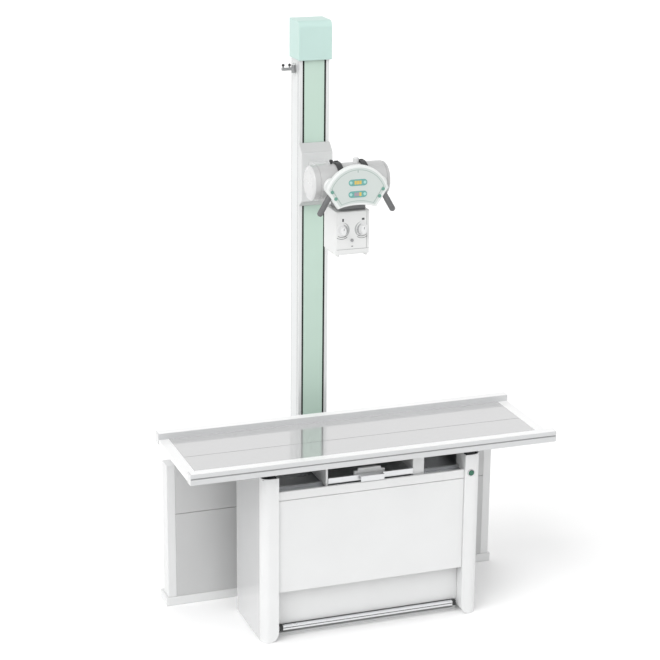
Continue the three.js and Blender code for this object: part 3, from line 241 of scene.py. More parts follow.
def add_turned(bm, profile, centre, direction, steps=48):
    """A turned shape: profile of (radius, place along the direction), spun about an axis through the centre."""
    turn = Vector((0, 0, 1)).rotation_difference(Vector(direction)).to_matrix().to_4x4()
    matrix = Matrix.Translation(centre) @ turn
    axis = (turn @ Vector((0, 0, 1, 0))).to_3d()
    verts = [bm.verts.new(matrix @ Vector((r, 0, h))) for r, h in profile]
    edges = [bm.edges.new(pair) for pair in zip(verts, verts[1:])]
    bmesh.ops.spin(bm, geom=verts + edges, cent=centre, axis=axis, angle=2 * pi, steps=steps, use_merge=True)
    bmesh.ops.remove_doubles(bm, verts=bm.verts, dist=1e-6)


def add_screws(bm, places, direction, radius=0.005):
    """Low pan heads with a round recess, seated on a face."""
    crown, recess, sink = radius * 0.34, 0.0002, -0.0005
    head = [(0, recess), (radius * 0.18, recess), (radius * 0.22, crown), (radius * 0.62, crown),
            (radius * 0.93, radius * 0.2), (radius, 0), (radius, sink)]
    for place in places:
        add_turned(bm, head, place, direction, steps=20)


white_paint = paint("white_powder_coat", (0.735, 0.74, 0.74), 0.38, grain=700, bump=0.08, coat=0.15)
skin("left_post", white_paint, bevel=0.003, segments=3)
skin("right_post", white_paint, bevel=0.003, segments=3)
# Painted shade: thin black sheets on the post tops stand for the shadow under the table top.
post_top_shade_black = paint("post_top_painted_shade_black", (0.02, 0.021, 0.022), 0.6, grain=500, bump=0.1)
post_top_shade = bmesh.new()
shade_inner, shade_outer = 0.443, 0.508
for side in (-1, 1):
    x_low, x_high = sorted((side * shade_inner, side * shade_outer))
    add_box(post_top_shade, (x_low, -0.212, 0.770), (x_high, -0.126, 0.7735), 0.001)
show("post_top_painted_shades", post_top_shade, post_top_shade_black, "base")

# Pedestal covers: the two glossy side panels, the front panel under the beam and the recessed kick panel are
# flat laminated sheets with eased edges; the back is a folded steel sheet held by pan-head screws. The side
# panels are given a darker white as painted shade, and thin sheets of the same painted shade lie on the flat
# sides of the posts.
# Painted shade: the side panels' white is darkened for their shade under the table top.
gloss_white_painted_shade = paint("gloss_white_cover_painted_shade", (0.60, 0.603, 0.607), 0.14, grain=60, bump=0.02, coat=0.7)
front_white = paint("satin_white_cover", (0.715, 0.72, 0.72), 0.34, grain=800, bump=0.05, coat=0.2)
for node in ("left_side_panel", "right_side_panel"):
    skin(node, gloss_white_painted_shade, bevel=0.002)
# Painted shade: thin sheets carry the side panels' darker white over the flat sides of the posts.
post_side_shade_sheets = bmesh.new()
post_outer, sheet_half = 0.5150, 0.0006
for side in (-1, 1):
    x_low, x_high = sorted((side * (post_outer - sheet_half), side * (post_outer + sheet_half)))
    add_box(post_side_shade_sheets, (x_low, -0.1825, 0.0030), (x_high, -0.1118, 0.7750), 0.0003)
show("post_side_painted_shade", post_side_shade_sheets, gloss_white_painted_shade, "base")
for node in ("front_panel", "front_beam", "kick_panel"):
    skin(node, front_white, bevel=0.0025)
skin("back_panel", white_paint, bevel=0.0012)
steel_plain = paint("plain_steel", (0.56, 0.57, 0.58), 0.34, grain=260, bump=0.012, metallic=0.9,
                    stretch=(1, 12, 12))
screw_steel = paint("screw_steel", (0.62, 0.63, 0.64), 0.28, grain=900, bump=0.03, metallic=1.0)
back_screws = bmesh.new()
back_places = [(x, 0.157, z) for x in (-0.47, -0.16, 0.16, 0.47) for z in (0.05, 0.40, 0.73)]
add_screws(back_screws, back_places, (0, 1, 0))
show("back_panel_screws", back_screws, screw_steel, "base")

# Foot pedal: an aluminium bar across the toe space with black rubber end blocks, a thin black strip along its
# face that is painted shade for a groove, and a ribbed tread on top, hung on two arms that turn on pins in the
# base plate's ears.
aluminium = paint("anodised_aluminium", (0.74, 0.75, 0.76), 0.30, grain=160, bump=0.01, metallic=0.85,
                  stretch=(1, 6, 6), cloud=0.04)
rubber_black = paint("black_rubber", (0.025, 0.026, 0.027), 0.55, grain=1200, bump=0.2)
# Painted light: the base plate is a light grey that lifts the shade in the toe space under the pedal.
base_painted_light_grey = paint("base_plate_painted_light", (0.62, 0.63, 0.63), 0.5, grain=600, bump=0.1)
skin("base_plate", base_painted_light_grey, bevel=0.001)
skin("foot_pedal", aluminium, bevel=0.0015)
pedal_tread = bmesh.new()
rib_half, rib_pitch, rib_width = 0.404, 0.0034, 0.0018
for rib in range(4):
    rib_y = -0.1905 + rib * rib_pitch
    add_box(pedal_tread, (-rib_half, rib_y, 0.0575), (rib_half, rib_y + rib_width, 0.0588), 0.0004)
show("pedal_tread", pedal_tread, aluminium, "foot_pedal")
pedal_rubber_and_groove_shade = bmesh.new()
bar_half, block_end = 0.408, 0.4255
for side in (-1, 1):
    x_low, x_high = sorted((side * bar_half, side * block_end))
    add_box(pedal_rubber_and_groove_shade, (x_low, -0.1948, 0.0365), (x_high, -0.175, 0.0595), 0.002)
# Painted shade: a thin black strip along the bar's face stands for a groove.
add_box(pedal_rubber_and_groove_shade, (-bar_half, -0.1937, 0.0470), (bar_half, -0.1925, 0.0500), 0.0004)
show("pedal_rubber_and_groove_shade", pedal_rubber_and_groove_shade, rubber_black, "foot_pedal")

# Power button: a domed dark green push button in a chromed bezel ring, set in the face of the right post. A
# black rubber block on top of that post stops the top.
button_x, button_z = 0.466, 0.693
button_green = paint("button_green", (0.012, 0.12, 0.065), 0.22, grain=900, bump=0.02, coat=0.5)
power_dome = bmesh.new()
add_turned(power_dome, [(0, -0.013), (0.012, -0.013), (0.012, -0.0022), (0.0112, -0.0006), (0.0085, 0.0005),
                        (0.004, 0.0011), (0, 0.0012)], (button_x, -0.232, button_z), (0, -1, 0))
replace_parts(show("power_button_dome", power_dome, button_green, "power_button"),
            "power_button")
power_ring = bmesh.new()
add_turned(power_ring, [(0.0124, 0.0), (0.0124, 0.003), (0.0135, 0.0042), (0.0160, 0.0036), (0.0172, 0.0015),
                        (0.0174, 0.0), (0.0124, 0.0)], (button_x, -0.225, button_z), (0, -1, 0))
show("power_button_bezel", power_ring, screw_steel, "base")
stop_block = bmesh.new()
add_box(stop_block, (0.446, -0.214, 0.778), (0.484, -0.196, 0.7905), 0.0015)
show("top_stop_block", stop_block, rubber_black, "base")

# Running gear of the top: steel cross rails on the pedestal, the welded cross-slide frame with its shoes, two
# runners under the top, and the deck inside the slot with its two ground rails for the cassette holder.
for node in ("left_cross_rail", "right_cross_rail", "cross_slide", "front_bucky_rail", "rear_bucky_rail",
             "front_runner", "rear_runner"):
    skin(node, steel_plain, bevel=0.0008)
deck_dark = paint("grey_deck_sheet", (0.36, 0.37, 0.38), 0.28, grain=400, bump=0.05, metallic=0.7)
skin("deck_plate", deck_dark, bevel=0.0006)

# Cassette holder: a white folded-steel frame on the deck rails. Its aluminium tray pulls out by a hooked
# handle, and two white clamp jaws with black rubber pads close on the cassette together.
skin("bucky_frame", front_white, bevel=0.0012)
skin("cassette_tray", aluminium, bevel=0.0012)
skin("front_jaw", front_white, bevel=0.002)
skin("rear_jaw", front_white, bevel=0.002)
for node, pad_front, pad_rear in (("front_jaw", -0.1642, -0.1625), ("rear_jaw", 0.1105, 0.1122)):
    jaw_pad = bmesh.new()
    add_box(jaw_pad, (-0.0505, pad_front, 0.7235), (0.0435, pad_rear, 0.7545), 0.0006)
    show(node + "_pad", jaw_pad, rubber_black, node)

# Table top: a glossy light grey laminate panel with an inlaid centre line and a line at its right end, between
# two anodised aluminium rails with an accessory groove and a white strip on top, and two white end borders;
# plastic caps close the ends of the rails. The grooves are drawn as grey strips of painted shade.
laminate = paint("glossy_grey_laminate", (0.43, 0.432, 0.434), 0.09, grain=300, bump=0.006, coat=1.0,
                 cloud=0.02)
for sheen in ("IOR", "Coat IOR"):
    laminate.node_tree.nodes["Principled BSDF"].inputs[sheen].default_value = 2.5
skin("top_panel", laminate, bevel=0.0008)
rail_finish = paint("rail_aluminium", (0.60, 0.607, 0.612), 0.38, grain=150, bump=0.003, metallic=0.35,
                    stretch=(1, 6, 6), cloud=0.03)
skin("front_rail", rail_finish, bevel=0.0015)
skin("rear_rail", rail_finish, bevel=0.0015)
border_white = paint("border_white", (0.86, 0.862, 0.862), 0.3, grain=800, bump=0.03, coat=0.3, cloud=0.02)
skin("left_border", border_white, bevel=0.0012)
skin("right_border", border_white, bevel=0.0012)
rail_strips = bmesh.new()
strip_end, strip_inner, strip_outer = 0.848, 0.2425, 0.2830
for side in (-1, 1):
    y_low, y_high = sorted((side * strip_inner, side * strip_outer))
    add_box(rail_strips, (-strip_end, y_low, 0.8650), (strip_end, y_high, 0.8663), 0.0003)
show("rail_top_strips", rail_strips, border_white, "table_top")
line_ink = paint("centre_line_inlay", (0.06, 0.062, 0.065), 0.4, grain=600, bump=0.03)
centre_line = bmesh.new()
line_low, line_high = 0.8373, 0.8378
add_box(centre_line, (-0.8015, -0.0014, line_low), (0.7988, 0.0014, line_high))
add_box(centre_line, (0.7990, -0.2400, line_low), (0.8012, 0.2400, line_high))
show("centre_line", centre_line, line_ink, "table_top")
# Painted shade: a grey strip along each rail's face stands for the accessory groove.
groove_shade_strip = bmesh.new()
groove_end, groove_inner, groove_outer = 0.849, 0.2802, 0.2815
for side in (-1, 1):
    y_low, y_high = sorted((side * groove_inner, side * groove_outer))
    add_box(groove_shade_strip, (-groove_end, y_low, 0.8412), (groove_end, y_high, 0.8468))
groove_painted_shade_grey = paint("groove_painted_shade_grey", (0.30, 0.305, 0.31), 0.5, grain=500, bump=0.05)
show("rail_groove_painted_shade", groove_shade_strip, groove_painted_shade_grey, "table_top")
rail_caps = bmesh.new()
cap_start, cap_end, cap_inner, cap_outer = 0.8495, 0.8530, 0.2405, 0.2845
for side in (-1, 1):
    for end in (-1, 1):
        x_low, x_high = sorted((end * cap_start, end * cap_end))
        y_low, y_high = sorted((side * cap_inner, side * cap_outer))
        add_box(rail_caps, (x_low, y_low, 0.8175), (x_high, y_high, 0.8655), 0.0015)
show("rail_end_caps", rail_caps, front_white, "table_top")

# Rear wall: steel end posts on a heavy plinth, with flat cover panels in front whose light grey is painted
# shade for the table top's shadow, and a folded sheet behind; the sheet is held by pan-head screws.
for node in ("wall_plinth", "wall_left_end", "wall_right_end"):
    skin(node, white_paint, bevel=0.002)
# Painted shade: the front panels are greyed for the shadow of the table top.
wall_painted_shade_grey = paint("wall_panel_painted_shade", (0.535, 0.538, 0.538), 0.36, grain=800, bump=0.05, coat=0.2)
for node in ("wall_lower_panel", "wall_upper_panel"):
    skin(node, wall_painted_shade_grey, bevel=0.0015)
skin("wall_back_panel", front_white, bevel=0.0012)
wall_screws = bmesh.new()
wall_places = [(x, 0.371, z) for x in (-0.73, -0.37, 0.0, 0.37, 0.73) for z in (0.075, 0.33, 0.57)]
add_screws(wall_screws, wall_places, (0, 1, 0))
show("wall_back_screws", wall_screws, screw_steel, "base")

# Column rails: ground steel profiles that guide the column, one fixed to the back of the wall and one bolted
# to the floor.
skin("upper_column_rail", steel_plain, bevel=0.001)
skin("floor_rail", steel_plain, bevel=0.001)
rail_bolts = bmesh.new()
bolt_pitch = 0.2
add_screws(rail_bolts, [(-0.70 + i * bolt_pitch, 0.475, 0.014) for i in range(8)], (0, 0, 1), radius=0.007)
show("floor_rail_bolts", rail_bolts, screw_steel, "base")

# Column: a painted aluminium channel on a cast trolley, with a mint infill strip between two dark slots, a mint
# plastic cap over the rope sheave, a cast-iron counterweight inside and a swinging cable arm on its left side.
grey_paint = paint("light_grey_paint", (0.64, 0.66, 0.665), 0.36, grain=700, bump=0.07, coat=0.2)
mast_finish = paint("mast_painted_aluminium", (0.71, 0.722, 0.72), 0.33, grain=140, bump=0.01, metallic=0.25,
                    stretch=(6, 6, 1), cloud=0.03)
mint = paint("mint_cover", (0.50, 0.645, 0.56), 0.4, grain=800, bump=0.06)
cap_mint = paint("cap_mint_plastic", (0.49, 0.66, 0.615), 0.36, grain=900, bump=0.08)
skin("trolley", grey_paint, bevel=0.003)
skin("mast", mast_finish, bevel=0.0018, segments=3)
skin("mast_infill", mint, bevel=0.0008)
skin("column_cap", cap_mint, bevel=0.003, segments=3)
skin("sheave_block", steel_plain, bevel=0.001)
skin("rope_sheave", rubber_black, bevel=0.0006)
iron = paint("cast_iron", (0.09, 0.092, 0.095), 0.7, grain=350, bump=0.35, metallic=0.5)
skin("counterweight", iron, bevel=0.003)
arm_grey = paint("cable_arm_grey", (0.30, 0.305, 0.31), 0.4, grain=500, bump=0.1, metallic=0.3)
skin("cable_arm", arm_grey, bevel=0.0008)
hook_tips = bmesh.new()
tip_radius = 0.0065
half_turn = [-pi / 2 + pi * i / 12 for i in range(1, 12)]
ball = [(tip_radius * cos(a), tip_radius * sin(a)) for a in half_turn]
ball = [(0, -tip_radius)] + ball + [(0, tip_radius)]
for hook_x in (-0.178, -0.148):
    add_turned(hook_tips, ball, (hook_x, 0.5115, 2.4386), (0, 0, 1), steps=24)
show("cable_hook_tips", hook_tips, rubber_black, "cable_arm")
column_x, mast_foot_z = -0.05, 0.092
# Painted shadow: black strips at the back of the two mast slots.
slot_shade_strips = bmesh.new()
slot_inner, slot_outer = 0.0466, 0.0554
for side in (-1, 1):
    x_low, x_high = sorted((column_x + side * slot_inner, column_x + side * slot_outer))
    add_box(slot_shade_strips, (x_low, 0.4592, mast_foot_z), (x_high, 0.4600, 2.538))
# Painted shade: thin grey strips along both sides of the mast stand for its grooves.
mast_groove_shade = bmesh.new()
for line_y in (0.4690, 0.4775, 0.5610):
    for x_low, x_high in ((-0.1203, -0.1195), (0.0195, 0.0203)):
        add_box(mast_groove_shade, (x_low, line_y, mast_foot_z), (x_high, line_y + 0.0016, 2.460))
show("mast_groove_painted_shade", mast_groove_shade, groove_painted_shade_grey, "column")
slot_black = paint("mast_slot_black", (0.004, 0.004, 0.004), 0.8, grain=500, bump=0.05)
show("mast_slot_shadow_strips", slot_shade_strips, slot_black, "column")

# Tube carriage: a light grey pressed cover with sloped ends, the truck inside the mast and the square arm that
# carries the tube head, with a flange where it leaves the cover. Thin darker grey plates on the sloped ends are
# painted shade.
carriage_grey = paint("carriage_grey", (0.63, 0.64, 0.638), 0.36, grain=800, bump=0.06, coat=0.2)
skin("carriage_cover", carriage_grey, bevel=0.004, segments=3)
# Painted shade: darker grey plates laid on the sloped ends of the cover.
slope_painted_shade_grey = paint("carriage_slope_painted_shade", (0.525, 0.53, 0.53), 0.40, grain=800, bump=0.08)
slope_shade_plates = bmesh.new()
slope_left, slope_right, slope_front, slope_rear = -0.122, 0.022, 0.4103, 0.4505
for front_z, rear_z in ((2.0585, 2.0945), (1.8315, 1.8062)):
    corners = [(slope_left, slope_front, front_z), (slope_right, slope_front, front_z),
               (slope_right, slope_rear, rear_z), (slope_left, slope_rear, rear_z)]
    slope_shade_plates.faces.new([slope_shade_plates.verts.new(corner) for corner in corners])
slope_shade_plates.normal_update()
bmesh.ops.solidify(slope_shade_plates, geom=slope_shade_plates.faces[:], thickness=0.0008)
show("carriage_slope_shade_plates", slope_shade_plates, slope_painted_shade_grey, "tube_carriage")
skin("carriage_truck", steel_plain, bevel=0.001)
skin("tube_arm", carriage_grey, bevel=0.0015)
arm_flange = bmesh.new()
add_box(arm_flange, (-0.0885, 0.4025, 1.9635), (-0.0115, 0.4104, 2.0205), 0.0015)
show("arm_collar", arm_flange, carriage_grey, "tube_carriage")

# Tube housing: a turned light grey shell around the X-ray tube, with stepped end bands closed by screwed caps,
# the left one white. A boss with the spigot for the arm and the port neck are cast on, and a vent knob and a
# lifting lug are screwed into the top.
head_x, head_z = column_x, 2.018
tube_grey = paint("tube_grey_enamel", (0.47, 0.473, 0.473), 0.26, grain=500, bump=0.05, coat=0.35)
housing = bmesh.new()
add_turned(housing, [(0, -0.1742), (0.0743, -0.1742), (0.075, -0.170), (0.075, -0.1515), (0.0735, -0.1505),
                     (0.0735, -0.1485), (0.0765, -0.1475), (0.078, -0.1440), (0.078, 0.1470),
                     (0.0765, 0.1485), (0.0735, 0.1495), (0.0735, 0.1510), (0.075, 0.1520), (0.075, 0.1550),
                     (0.0725, 0.1610), (0.0675, 0.1652), (0.062, 0.167), (0.051, 0.167), (0.050, 0.166),
                     (0, 0.166)],
           (head_x, 0, head_z), (1, 0, 0), steps=72)
spigot_z = head_z - 0.026
add_turned(housing, [(0, 0.0), (0.046, 0.0), (0.046, 0.1150), (0.0445, 0.1177), (0.0152, 0.1177),
                     (0.0150, 0.118), (0.0150, 0.1555), (0, 0.156)], (head_x, 0, spigot_z), (0, 1, 0))
add_turned(housing, [(0, 0.0), (0.050, 0.0), (0.050, 0.0980), (0, 0.0980)], (head_x, 0, head_z), (0, 0, -1))
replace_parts(show("tube_housing_shell", housing, tube_grey, "tube_head"), "tube_housing")
end_white = paint("tube_end_white", (0.62, 0.624, 0.624), 0.28, grain=500, bump=0.05, coat=0.3)
end_cap = bmesh.new()
add_turned(end_cap, [(0, -0.184), (0.050, -0.184), (0.051, -0.185), (0.062, -0.185), (0.069, -0.182),
                     (0.0735, -0.177), (0.0742, -0.1745), (0, -0.1745)],
           (head_x, 0, head_z), (1, 0, 0), steps=72)
show("tube_left_end_cap", end_cap, end_white, "tube_head")
end_screws = bmesh.new()
screw_circle = 0.0565
sixths = [pi / 3 * i for i in range(6)]
for end, end_x in ((-1, -0.185), (1, 0.167)):
    ring = [(head_x + end_x, screw_circle * cos(a), head_z + screw_circle * sin(a)) for a in sixths]
    add_screws(end_screws, ring, (end, 0, 0), radius=0.004)
show("tube_end_screws", end_screws, screw_steel, "tube_head")
vent_knob = bmesh.new()
add_turned(vent_knob, [(0, -0.006), (0.0045, -0.006), (0.0045, 0.006), (0.0075, 0.008), (0.0082, 0.014),
                       (0.0065, 0.018), (0, 0.0185)],
           (head_x - 0.082, 0, head_z + 0.077), (0, 0, 1), steps=28)
show("tube_vent_knob", vent_knob, rubber_black, "tube_head")
lug = bmesh.new()
add_turned(lug, [(0, -0.010), (0.013, -0.010), (0.013, 0.015), (0.0115, 0.0185), (0.007, 0.021), (0, 0.0215)],
           (head_x + 0.031, 0, head_z + 0.079), (0, 0, 1), steps=32)
show("tube_lift_lug", lug, front_white, "tube_head")


# Control panel: a white moulded fan on two round bosses and two black straps over the tube, with a pale mint
# faceplate, two teal capsule keypads with end keys and displays, and four green thumb buttons near the grips.
def fan(inset, y, steps=28):
    """Points of the panel's outline, drawn in by an inset, at one depth."""
    full_radius = 0.147
    radius, fall, corner = full_radius - inset, 0.058, radians(16) + inset / full_radius
    foot, foot_fall, rise = 0.087 - inset * 0.75, 0.097 - inset, 0.013
    bend = (foot * foot + rise * rise) / (2 * rise)
    spread = asin(foot / bend)
    arc = [corner + (pi - 2 * corner) * i / steps for i in range(steps + 1)]
    points = [(radius * cos(a), radius * sin(a) - fall) for a in arc]
    hollow = [-spread + 2 * spread * i / steps for i in range(steps + 1)]
    points += [(bend * sin(a), -foot_fall + rise - bend + bend * cos(a)) for a in hollow]
    return [(head_x + px, y, head_z + pz) for px, pz in points]


def add_loft(bm, rings):
    """Closed rings of equal count joined in turn, with flat ends."""
    made = [[bm.verts.new(p) for p in ring] for ring in rings]
    for low, high in zip(made, made[1:]):
        for i in range(len(low)):
            j = (i + 1) % len(low)
            bm.faces.new((low[i], low[j], high[j], high[i]))
    bm.faces.new(made[0])
    bm.faces.new(made[-1])


def capsule(length, height, middle_z, y, steps=14):
    """Points of a round-ended bar on the panel's face."""
    radius = height / 2
    reach = length / 2 - radius
    half_turn = [-pi / 2 + pi * i / steps for i in range(steps + 1)]
    right = [(reach + radius * cos(a), radius * sin(a)) for a in half_turn]
    left = [(-px, -pz) for px, pz in right]
    return [(head_x + px, y, head_z + middle_z + pz) for px, pz in right + left]


panel_white = paint("panel_white_plastic", (0.74, 0.76, 0.75), 0.33, grain=900, bump=0.05, coat=0.1)
panel_mint = paint("panel_mint_face", (0.56, 0.605, 0.585), 0.35, grain=1200, bump=0.05)
panel_line = paint("panel_line_grey", (0.33, 0.41, 0.38), 0.4, grain=900, bump=0.03)
strap_black = paint("strap_black", (0.022, 0.023, 0.024), 0.42, grain=900, bump=0.1)
keypad_teal = paint("keypad_teal", (0.13, 0.36, 0.33), 0.35, grain=1200, bump=0.05)
key_cyan = paint("key_cyan", (0.36, 0.62, 0.58), 0.3, grain=900, bump=0.03, coat=0.3)
display_amber = paint("display_amber", (0.66, 0.46, 0.09), 0.12, grain=900, bump=0.01, coat=0.8)
display_dark = paint("display_dark", (0.36, 0.28, 0.33), 0.12, grain=900, bump=0.01, coat=0.8)
thumb_green = paint("thumb_green", (0.13, 0.31, 0.25), 0.3, grain=900, bump=0.03)
face_y = -0.110
fan_body = bmesh.new()
add_loft(fan_body, [fan(0.0045, -0.0840), fan(0.0012, -0.0856), fan(0.0, -0.0885), fan(0.0, -0.1050),
                    fan(0.0010, -0.1078), fan(0.0030, -0.1094), fan(0.0055, face_y)])
panel_shell = show("control_panel_shell", fan_body, panel_white, "tube_head")
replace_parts(panel_shell, "control_panel")
bosses = bmesh.new()
boss_reach = 0.108
for side in (-1, 1):
    add_turned(bosses, [(0, 0.0), (0.032, 0.0), (0.035, 0.003), (0.035, 0.024), (0, 0.024)],
               (head_x + side * boss_reach, -0.0885, head_z - 0.002), (0, 1, 0))
show("panel_side_bosses", bosses, panel_white, "tube_head")
faceplate = bmesh.new()
add_loft(faceplate, [fan(0.0100, face_y + 0.0008), fan(0.0100, face_y - 0.0006), fan(0.0106, face_y - 0.0010)])
show("control_panel_face", faceplate, panel_mint, "tube_head")
face_line = bmesh.new()
line_rings = [[face_line.verts.new(p) for p in fan(inset, face_y - 0.0012)] for inset in (0.0180, 0.0206)]
for i in range(len(line_rings[0])):
    j = (i + 1) % len(line_rings[0])
    face_line.faces.new((line_rings[0][i], line_rings[0][j], line_rings[1][j], line_rings[1][i]))
face_line.normal_update()
bmesh.ops.solidify(face_line, geom=face_line.faces[:], thickness=0.0003)
add_box(face_line, (head_x - 0.0022, face_y - 0.0015, head_z + 0.058),
        (head_x + 0.0022, face_y - 0.0009, head_z + 0.067))
show("control_panel_line", face_line, panel_line, "tube_head")
straps = bmesh.new()
strap_reach, strap_inner, strap_outer = 0.057, 0.0783, 0.0860
strap_half, buckle_half = 0.012, 0.009
strap_arc = [radians(60 + 6.2 * i) for i in range(21)]
strap_rim = [(strap_inner, a) for a in strap_arc] + [(strap_outer, a) for a in strap_arc[::-1]]
for side in (-1, 1):
    strap_x = head_x + side * strap_reach
    add_loft(straps, [[(strap_x + x, r * cos(a), head_z + r * sin(a)) for r, a in strap_rim]
                      for x in (-strap_half, strap_half)])
    add_box(straps, (strap_x - buckle_half, 0.002, head_z + 0.0830),
            (strap_x + buckle_half, 0.012, head_z + 0.0885), 0.0012)
show("tube_straps", straps, strap_black, "tube_head")
cell_half_x, cell_half_z, key_reach = 0.0048, 0.0080, 0.0315
for row, (row_z, dark_cells) in enumerate(((0.015, (0, 0, 0)), (-0.036, (1, 1, 0)))):
    pad = bmesh.new()
    add_loft(pad, [capsule(0.084, 0.028, row_z, face_y + 0.0005), capsule(0.084, 0.028, row_z, face_y - 0.0016),
                   capsule(0.0828, 0.0268, row_z, face_y - 0.0022)])
    show(f"keypad_{row}", pad, keypad_teal, "tube_head")
    keys = bmesh.new()
    for side in (-1, 1):
        add_turned(keys, [(0, -0.001), (0.0066, -0.001), (0.0066, 0.0014), (0.0056, 0.0022), (0, 0.0026)],
                   (head_x + side * key_reach, face_y - 0.002, head_z + row_z), (0, -1, 0), steps=32)
    show(f"keypad_keys_{row}", keys, key_cyan, "tube_head")
    for cell, cell_x in enumerate((-0.0112, 0.0, 0.0112)):
        glass = bmesh.new()
        add_box(glass, (head_x + cell_x - cell_half_x, face_y - 0.0031, head_z + row_z - cell_half_z),
                (head_x + cell_x + cell_half_x, face_y - 0.0018, head_z + row_z + cell_half_z), 0.0006)
        display_glass = display_dark if dark_cells[cell] else display_amber
        show(f"keypad_display_{row}_{cell}", glass, display_glass, "tube_head")
for node in ("left_upper", "left_lower", "right_upper", "right_lower"):
    skin(node + "_thumb_button", thumb_green, bevel=0.0012, segments=3)

# Grips: two dark grey moulded rubber handles with fine rings, screwed to the slanted sides of the control
# panel.
grip_grey = paint("grip_dark_grey", (0.135, 0.137, 0.14), 0.5, grain=1100, bump=0.2)
grip_tilt, first_ring, ring_pitch = radians(30), 0.030, 0.006
for side, node in ((-1, "left_grip"), (1, "right_grip")):
    skin(node, grip_grey, bevel=0.001)
    grip_rings = bmesh.new()
    root = Vector((head_x + side * 0.1239, -0.097, head_z - 0.0429))
    lean = Vector((side * sin(grip_tilt), 0, -cos(grip_tilt)))
    for i in range(9):
        centre = root + lean * (first_ring + i * ring_pitch)
        add_turned(grip_rings, [(0.0121, -0.0014), (0.0130, -0.0010), (0.0133, 0.0), (0.0130, 0.0010),
                                (0.0121, 0.0014), (0.0121, -0.0014)], centre, lean, steps=28)
    show(node + "_rings", grip_rings, grip_grey, "tube_head")

# Collimator: a white box with a front cover in three plates, hung under a dark grey flange; two oval ribbed
# knobs on white dial skirts with tick scales set the field, a small button lights the lamp, and a dark window
# closes the bottom. Grey crescents beside the knobs, on the skirts and on the cover, are painted shade.
flange_grey = paint("flange_dark_grey", (0.235, 0.24, 0.243), 0.45, grain=800, bump=0.12)
skin("collimator_flange", flange_grey, bevel=0.002)
collimator_white = paint("collimator_white", (0.70, 0.705, 0.70), 0.34, grain=800, bump=0.06, coat=0.15)
skin("collimator_body", collimator_white, bevel=0.0018)
cover = bmesh.new()
cover_left, cover_right = head_x - 0.0778, head_x + 0.0698
joint_left, joint_right = head_x + 0.0570, head_x + 0.0595
joint_low, joint_high, cover_top = 1.7305, 1.7330, 1.8950
cover_front, cover_rear, line_front, line_rear = -0.0714, -0.0690, -0.0704, -0.0698
add_box(cover, (cover_left, cover_front, joint_high), (joint_left, cover_rear, cover_top), 0.0008)
add_box(cover, (joint_right, cover_front, joint_high), (cover_right, cover_rear, cover_top), 0.0008)
add_box(cover, (cover_left, cover_front, 1.7110), (cover_right, cover_rear, joint_low), 0.0008)
show("collimator_front_cover", cover, collimator_white, "collimator")
joint_line = bmesh.new()
add_box(joint_line, (joint_left, line_front, joint_high), (joint_right, line_rear, cover_top))
add_box(joint_line, (cover_left, line_front, joint_low), (cover_right, line_rear, joint_high))
# Grey for the cover's joint lines, also used as painted shade for the crescents beside the knobs.
joint_and_shade_grey = paint("cover_joint_and_shade_grey", (0.40, 0.41, 0.41), 0.6, grain=600, bump=0.05)
show("collimator_cover_joint", joint_line, joint_and_shade_grey, "collimator")
window = bmesh.new()
add_box(window, (head_x - 0.0495, -0.0375, 1.7112), (head_x + 0.0495, 0.0615, 1.7126), 0.0003)
window_glass = paint("window_dark_glass", (0.05, 0.055, 0.06), 0.08, grain=400, bump=0.01, coat=0.8)
show("collimator_window", window, window_glass, "collimator")
# Painted shade: grey for the crescents beside the knobs, as if the dials sat in recesses.
dial_shade_grey = paint("dial_shade_grey", (0.42, 0.425, 0.43), 0.4, grain=700, bump=0.06)
dial_ink = paint("dial_ink", (0.05, 0.052, 0.055), 0.5, grain=700, bump=0.03)
control_x, knob_reach, knob_z = head_x - 0.009, 0.046, 1.818
knob_places = {side: control_x + side * knob_reach for side in (-1, 1)}


def crescent(x, z, toward, radius, thick, y, steps=24):
    """Points of a crescent on one side of a knob, at one depth."""
    arc = [radians(-80 + 160 * i / steps) for i in range(steps + 1)]
    bands = [(a, radius) for a in arc] + [(a, radius - thick * cos(a * 9 / 8)) for a in arc[-2:0:-1]]
    return [(x + toward * r * cos(a), y, z + r * sin(a)) for a, r in bands]


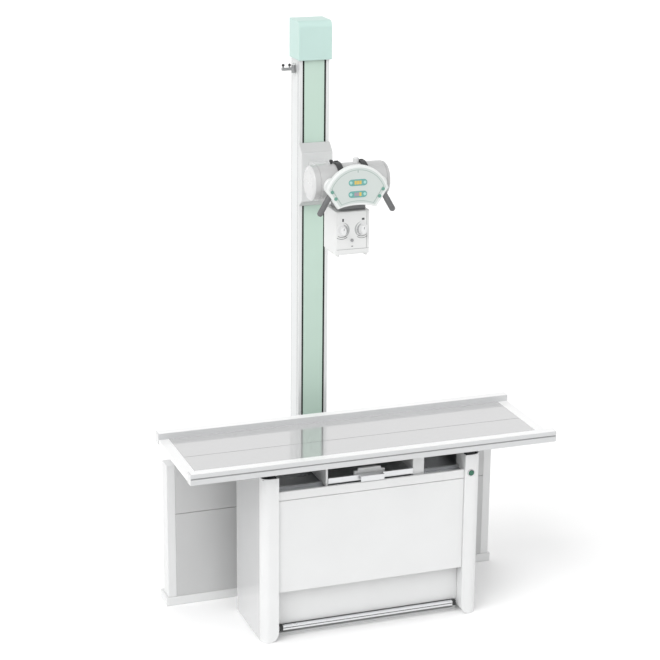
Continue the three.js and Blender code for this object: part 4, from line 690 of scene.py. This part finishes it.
for side, node in ((-1, "left_knob"), (1, "right_knob")):
    knob_x = knob_places[side]
    dial = bmesh.new()
    add_turned(dial, [(0, 0.0), (0.0255, 0.0), (0.027, 0.0010), (0.027, 0.0028), (0.0258, 0.0040),
                      (0.0165, 0.0043), (0, 0.0043)], (knob_x, -0.0703, knob_z), (0, -1, 0), steps=56)
    dial_piece = show(node + "_dial", dial, front_white, node)
    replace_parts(dial_piece, node)
    # Painted shade: a grey crescent on the inner side of each dial skirt.
    dial_shade_crescent = bmesh.new()
    add_loft(dial_shade_crescent, [crescent(knob_x, knob_z, -side, 0.0262, 0.0100, depth) for depth in (-0.0744, -0.0749)])
    show(node + "_dial_painted_shade", dial_shade_crescent, dial_shade_grey, node)
    ticks = bmesh.new()
    tick_step, tick_rim, long_tick, short_tick = 16, 0.0250, 0.0055, 0.0032
    for i in range(-4, 5):
        length = long_tick if i % 2 == 0 else short_tick
        middle = Matrix.Translation((knob_x, -0.0750, knob_z))
        turn = Matrix.Rotation(radians(tick_step * i - 90 * side), 4, "Y")
        shape = Matrix.Translation((0, 0, tick_rim - length / 2)) @ Matrix.Diagonal((0.0009, 0.0006, length, 1))
        bmesh.ops.create_cube(ticks, size=1.0, matrix=middle @ turn @ shape)
    show(node + "_ticks", ticks, dial_ink, node)
    ribbed = bmesh.new()
    ribs, rib_height, half_width, half_height = 24, 0.03, 0.0128, 0.0198
    around = [2 * pi * i / 96 for i in range(96)]
    rings = []
    for depth, share in ((-0.0740, 1.0), (-0.0935, 0.97), (-0.0965, 0.90), (-0.0980, 0.78)):
        swell = [(a, (1 + rib_height * cos(ribs * a)) * share) for a in around]
        rings.append([(knob_x + half_width * k * cos(a), depth, knob_z + half_height * k * sin(a))
                      for a, k in swell])
    add_loft(ribbed, rings)
    show(node + "_grip", ribbed, front_white, node)
    pointer = bmesh.new()
    add_box(pointer, (knob_x - 0.0009, -0.0986, knob_z + 0.0040), (knob_x + 0.0009, -0.0978, knob_z + 0.0145))
    show(node + "_pointer", pointer, dial_ink, node)
lamp_grey = paint("lamp_button_grey", (0.30, 0.305, 0.31), 0.4, grain=800, bump=0.05)
skin("lamp_button", lamp_grey, bevel=0.0015)
marks = bmesh.new()
shades = bmesh.new()
dash_start, dash_step, dash_span = 148, 8, radians(8.6)
for side, knob_x in knob_places.items():
    half_x, half_z = (0.0060, 0.0045) if side > 0 else (0.0035, 0.0065)
    mark_x, mark_z = knob_x + 0.004, 1.862
    add_box(marks, (mark_x - half_x, -0.0718, mark_z - half_z), (mark_x + half_x, -0.0713, mark_z + half_z))
    for arc_radius in (0.0310, 0.0395):
        for i in range(9):
            turn = Matrix.Rotation(radians(dash_start + dash_step * i), 4, "Y")
            at = Matrix.Translation((knob_x, -0.0714, knob_z)) @ turn @ Matrix.Translation((0, 0, arc_radius))
            shape = Matrix.Diagonal((arc_radius * dash_span, 0.0008, 0.0018, 1))
            bmesh.ops.create_cube(marks, size=1.0, matrix=at @ shape)
    # Painted shade: grey crescents on the cover beside each knob.
    add_loft(shades, [crescent(knob_x, knob_z, -side, 0.0345, 0.0068, depth) for depth in (-0.0713, -0.0717)])
add_box(marks, (head_x - 0.0120, -0.0720, 1.7430), (head_x - 0.0040, -0.0713, 1.7462))
show("collimator_painted_shade_crescents", shades, joint_and_shade_grey, "collimator")
show("collimator_marks", marks, dial_ink, "collimator")
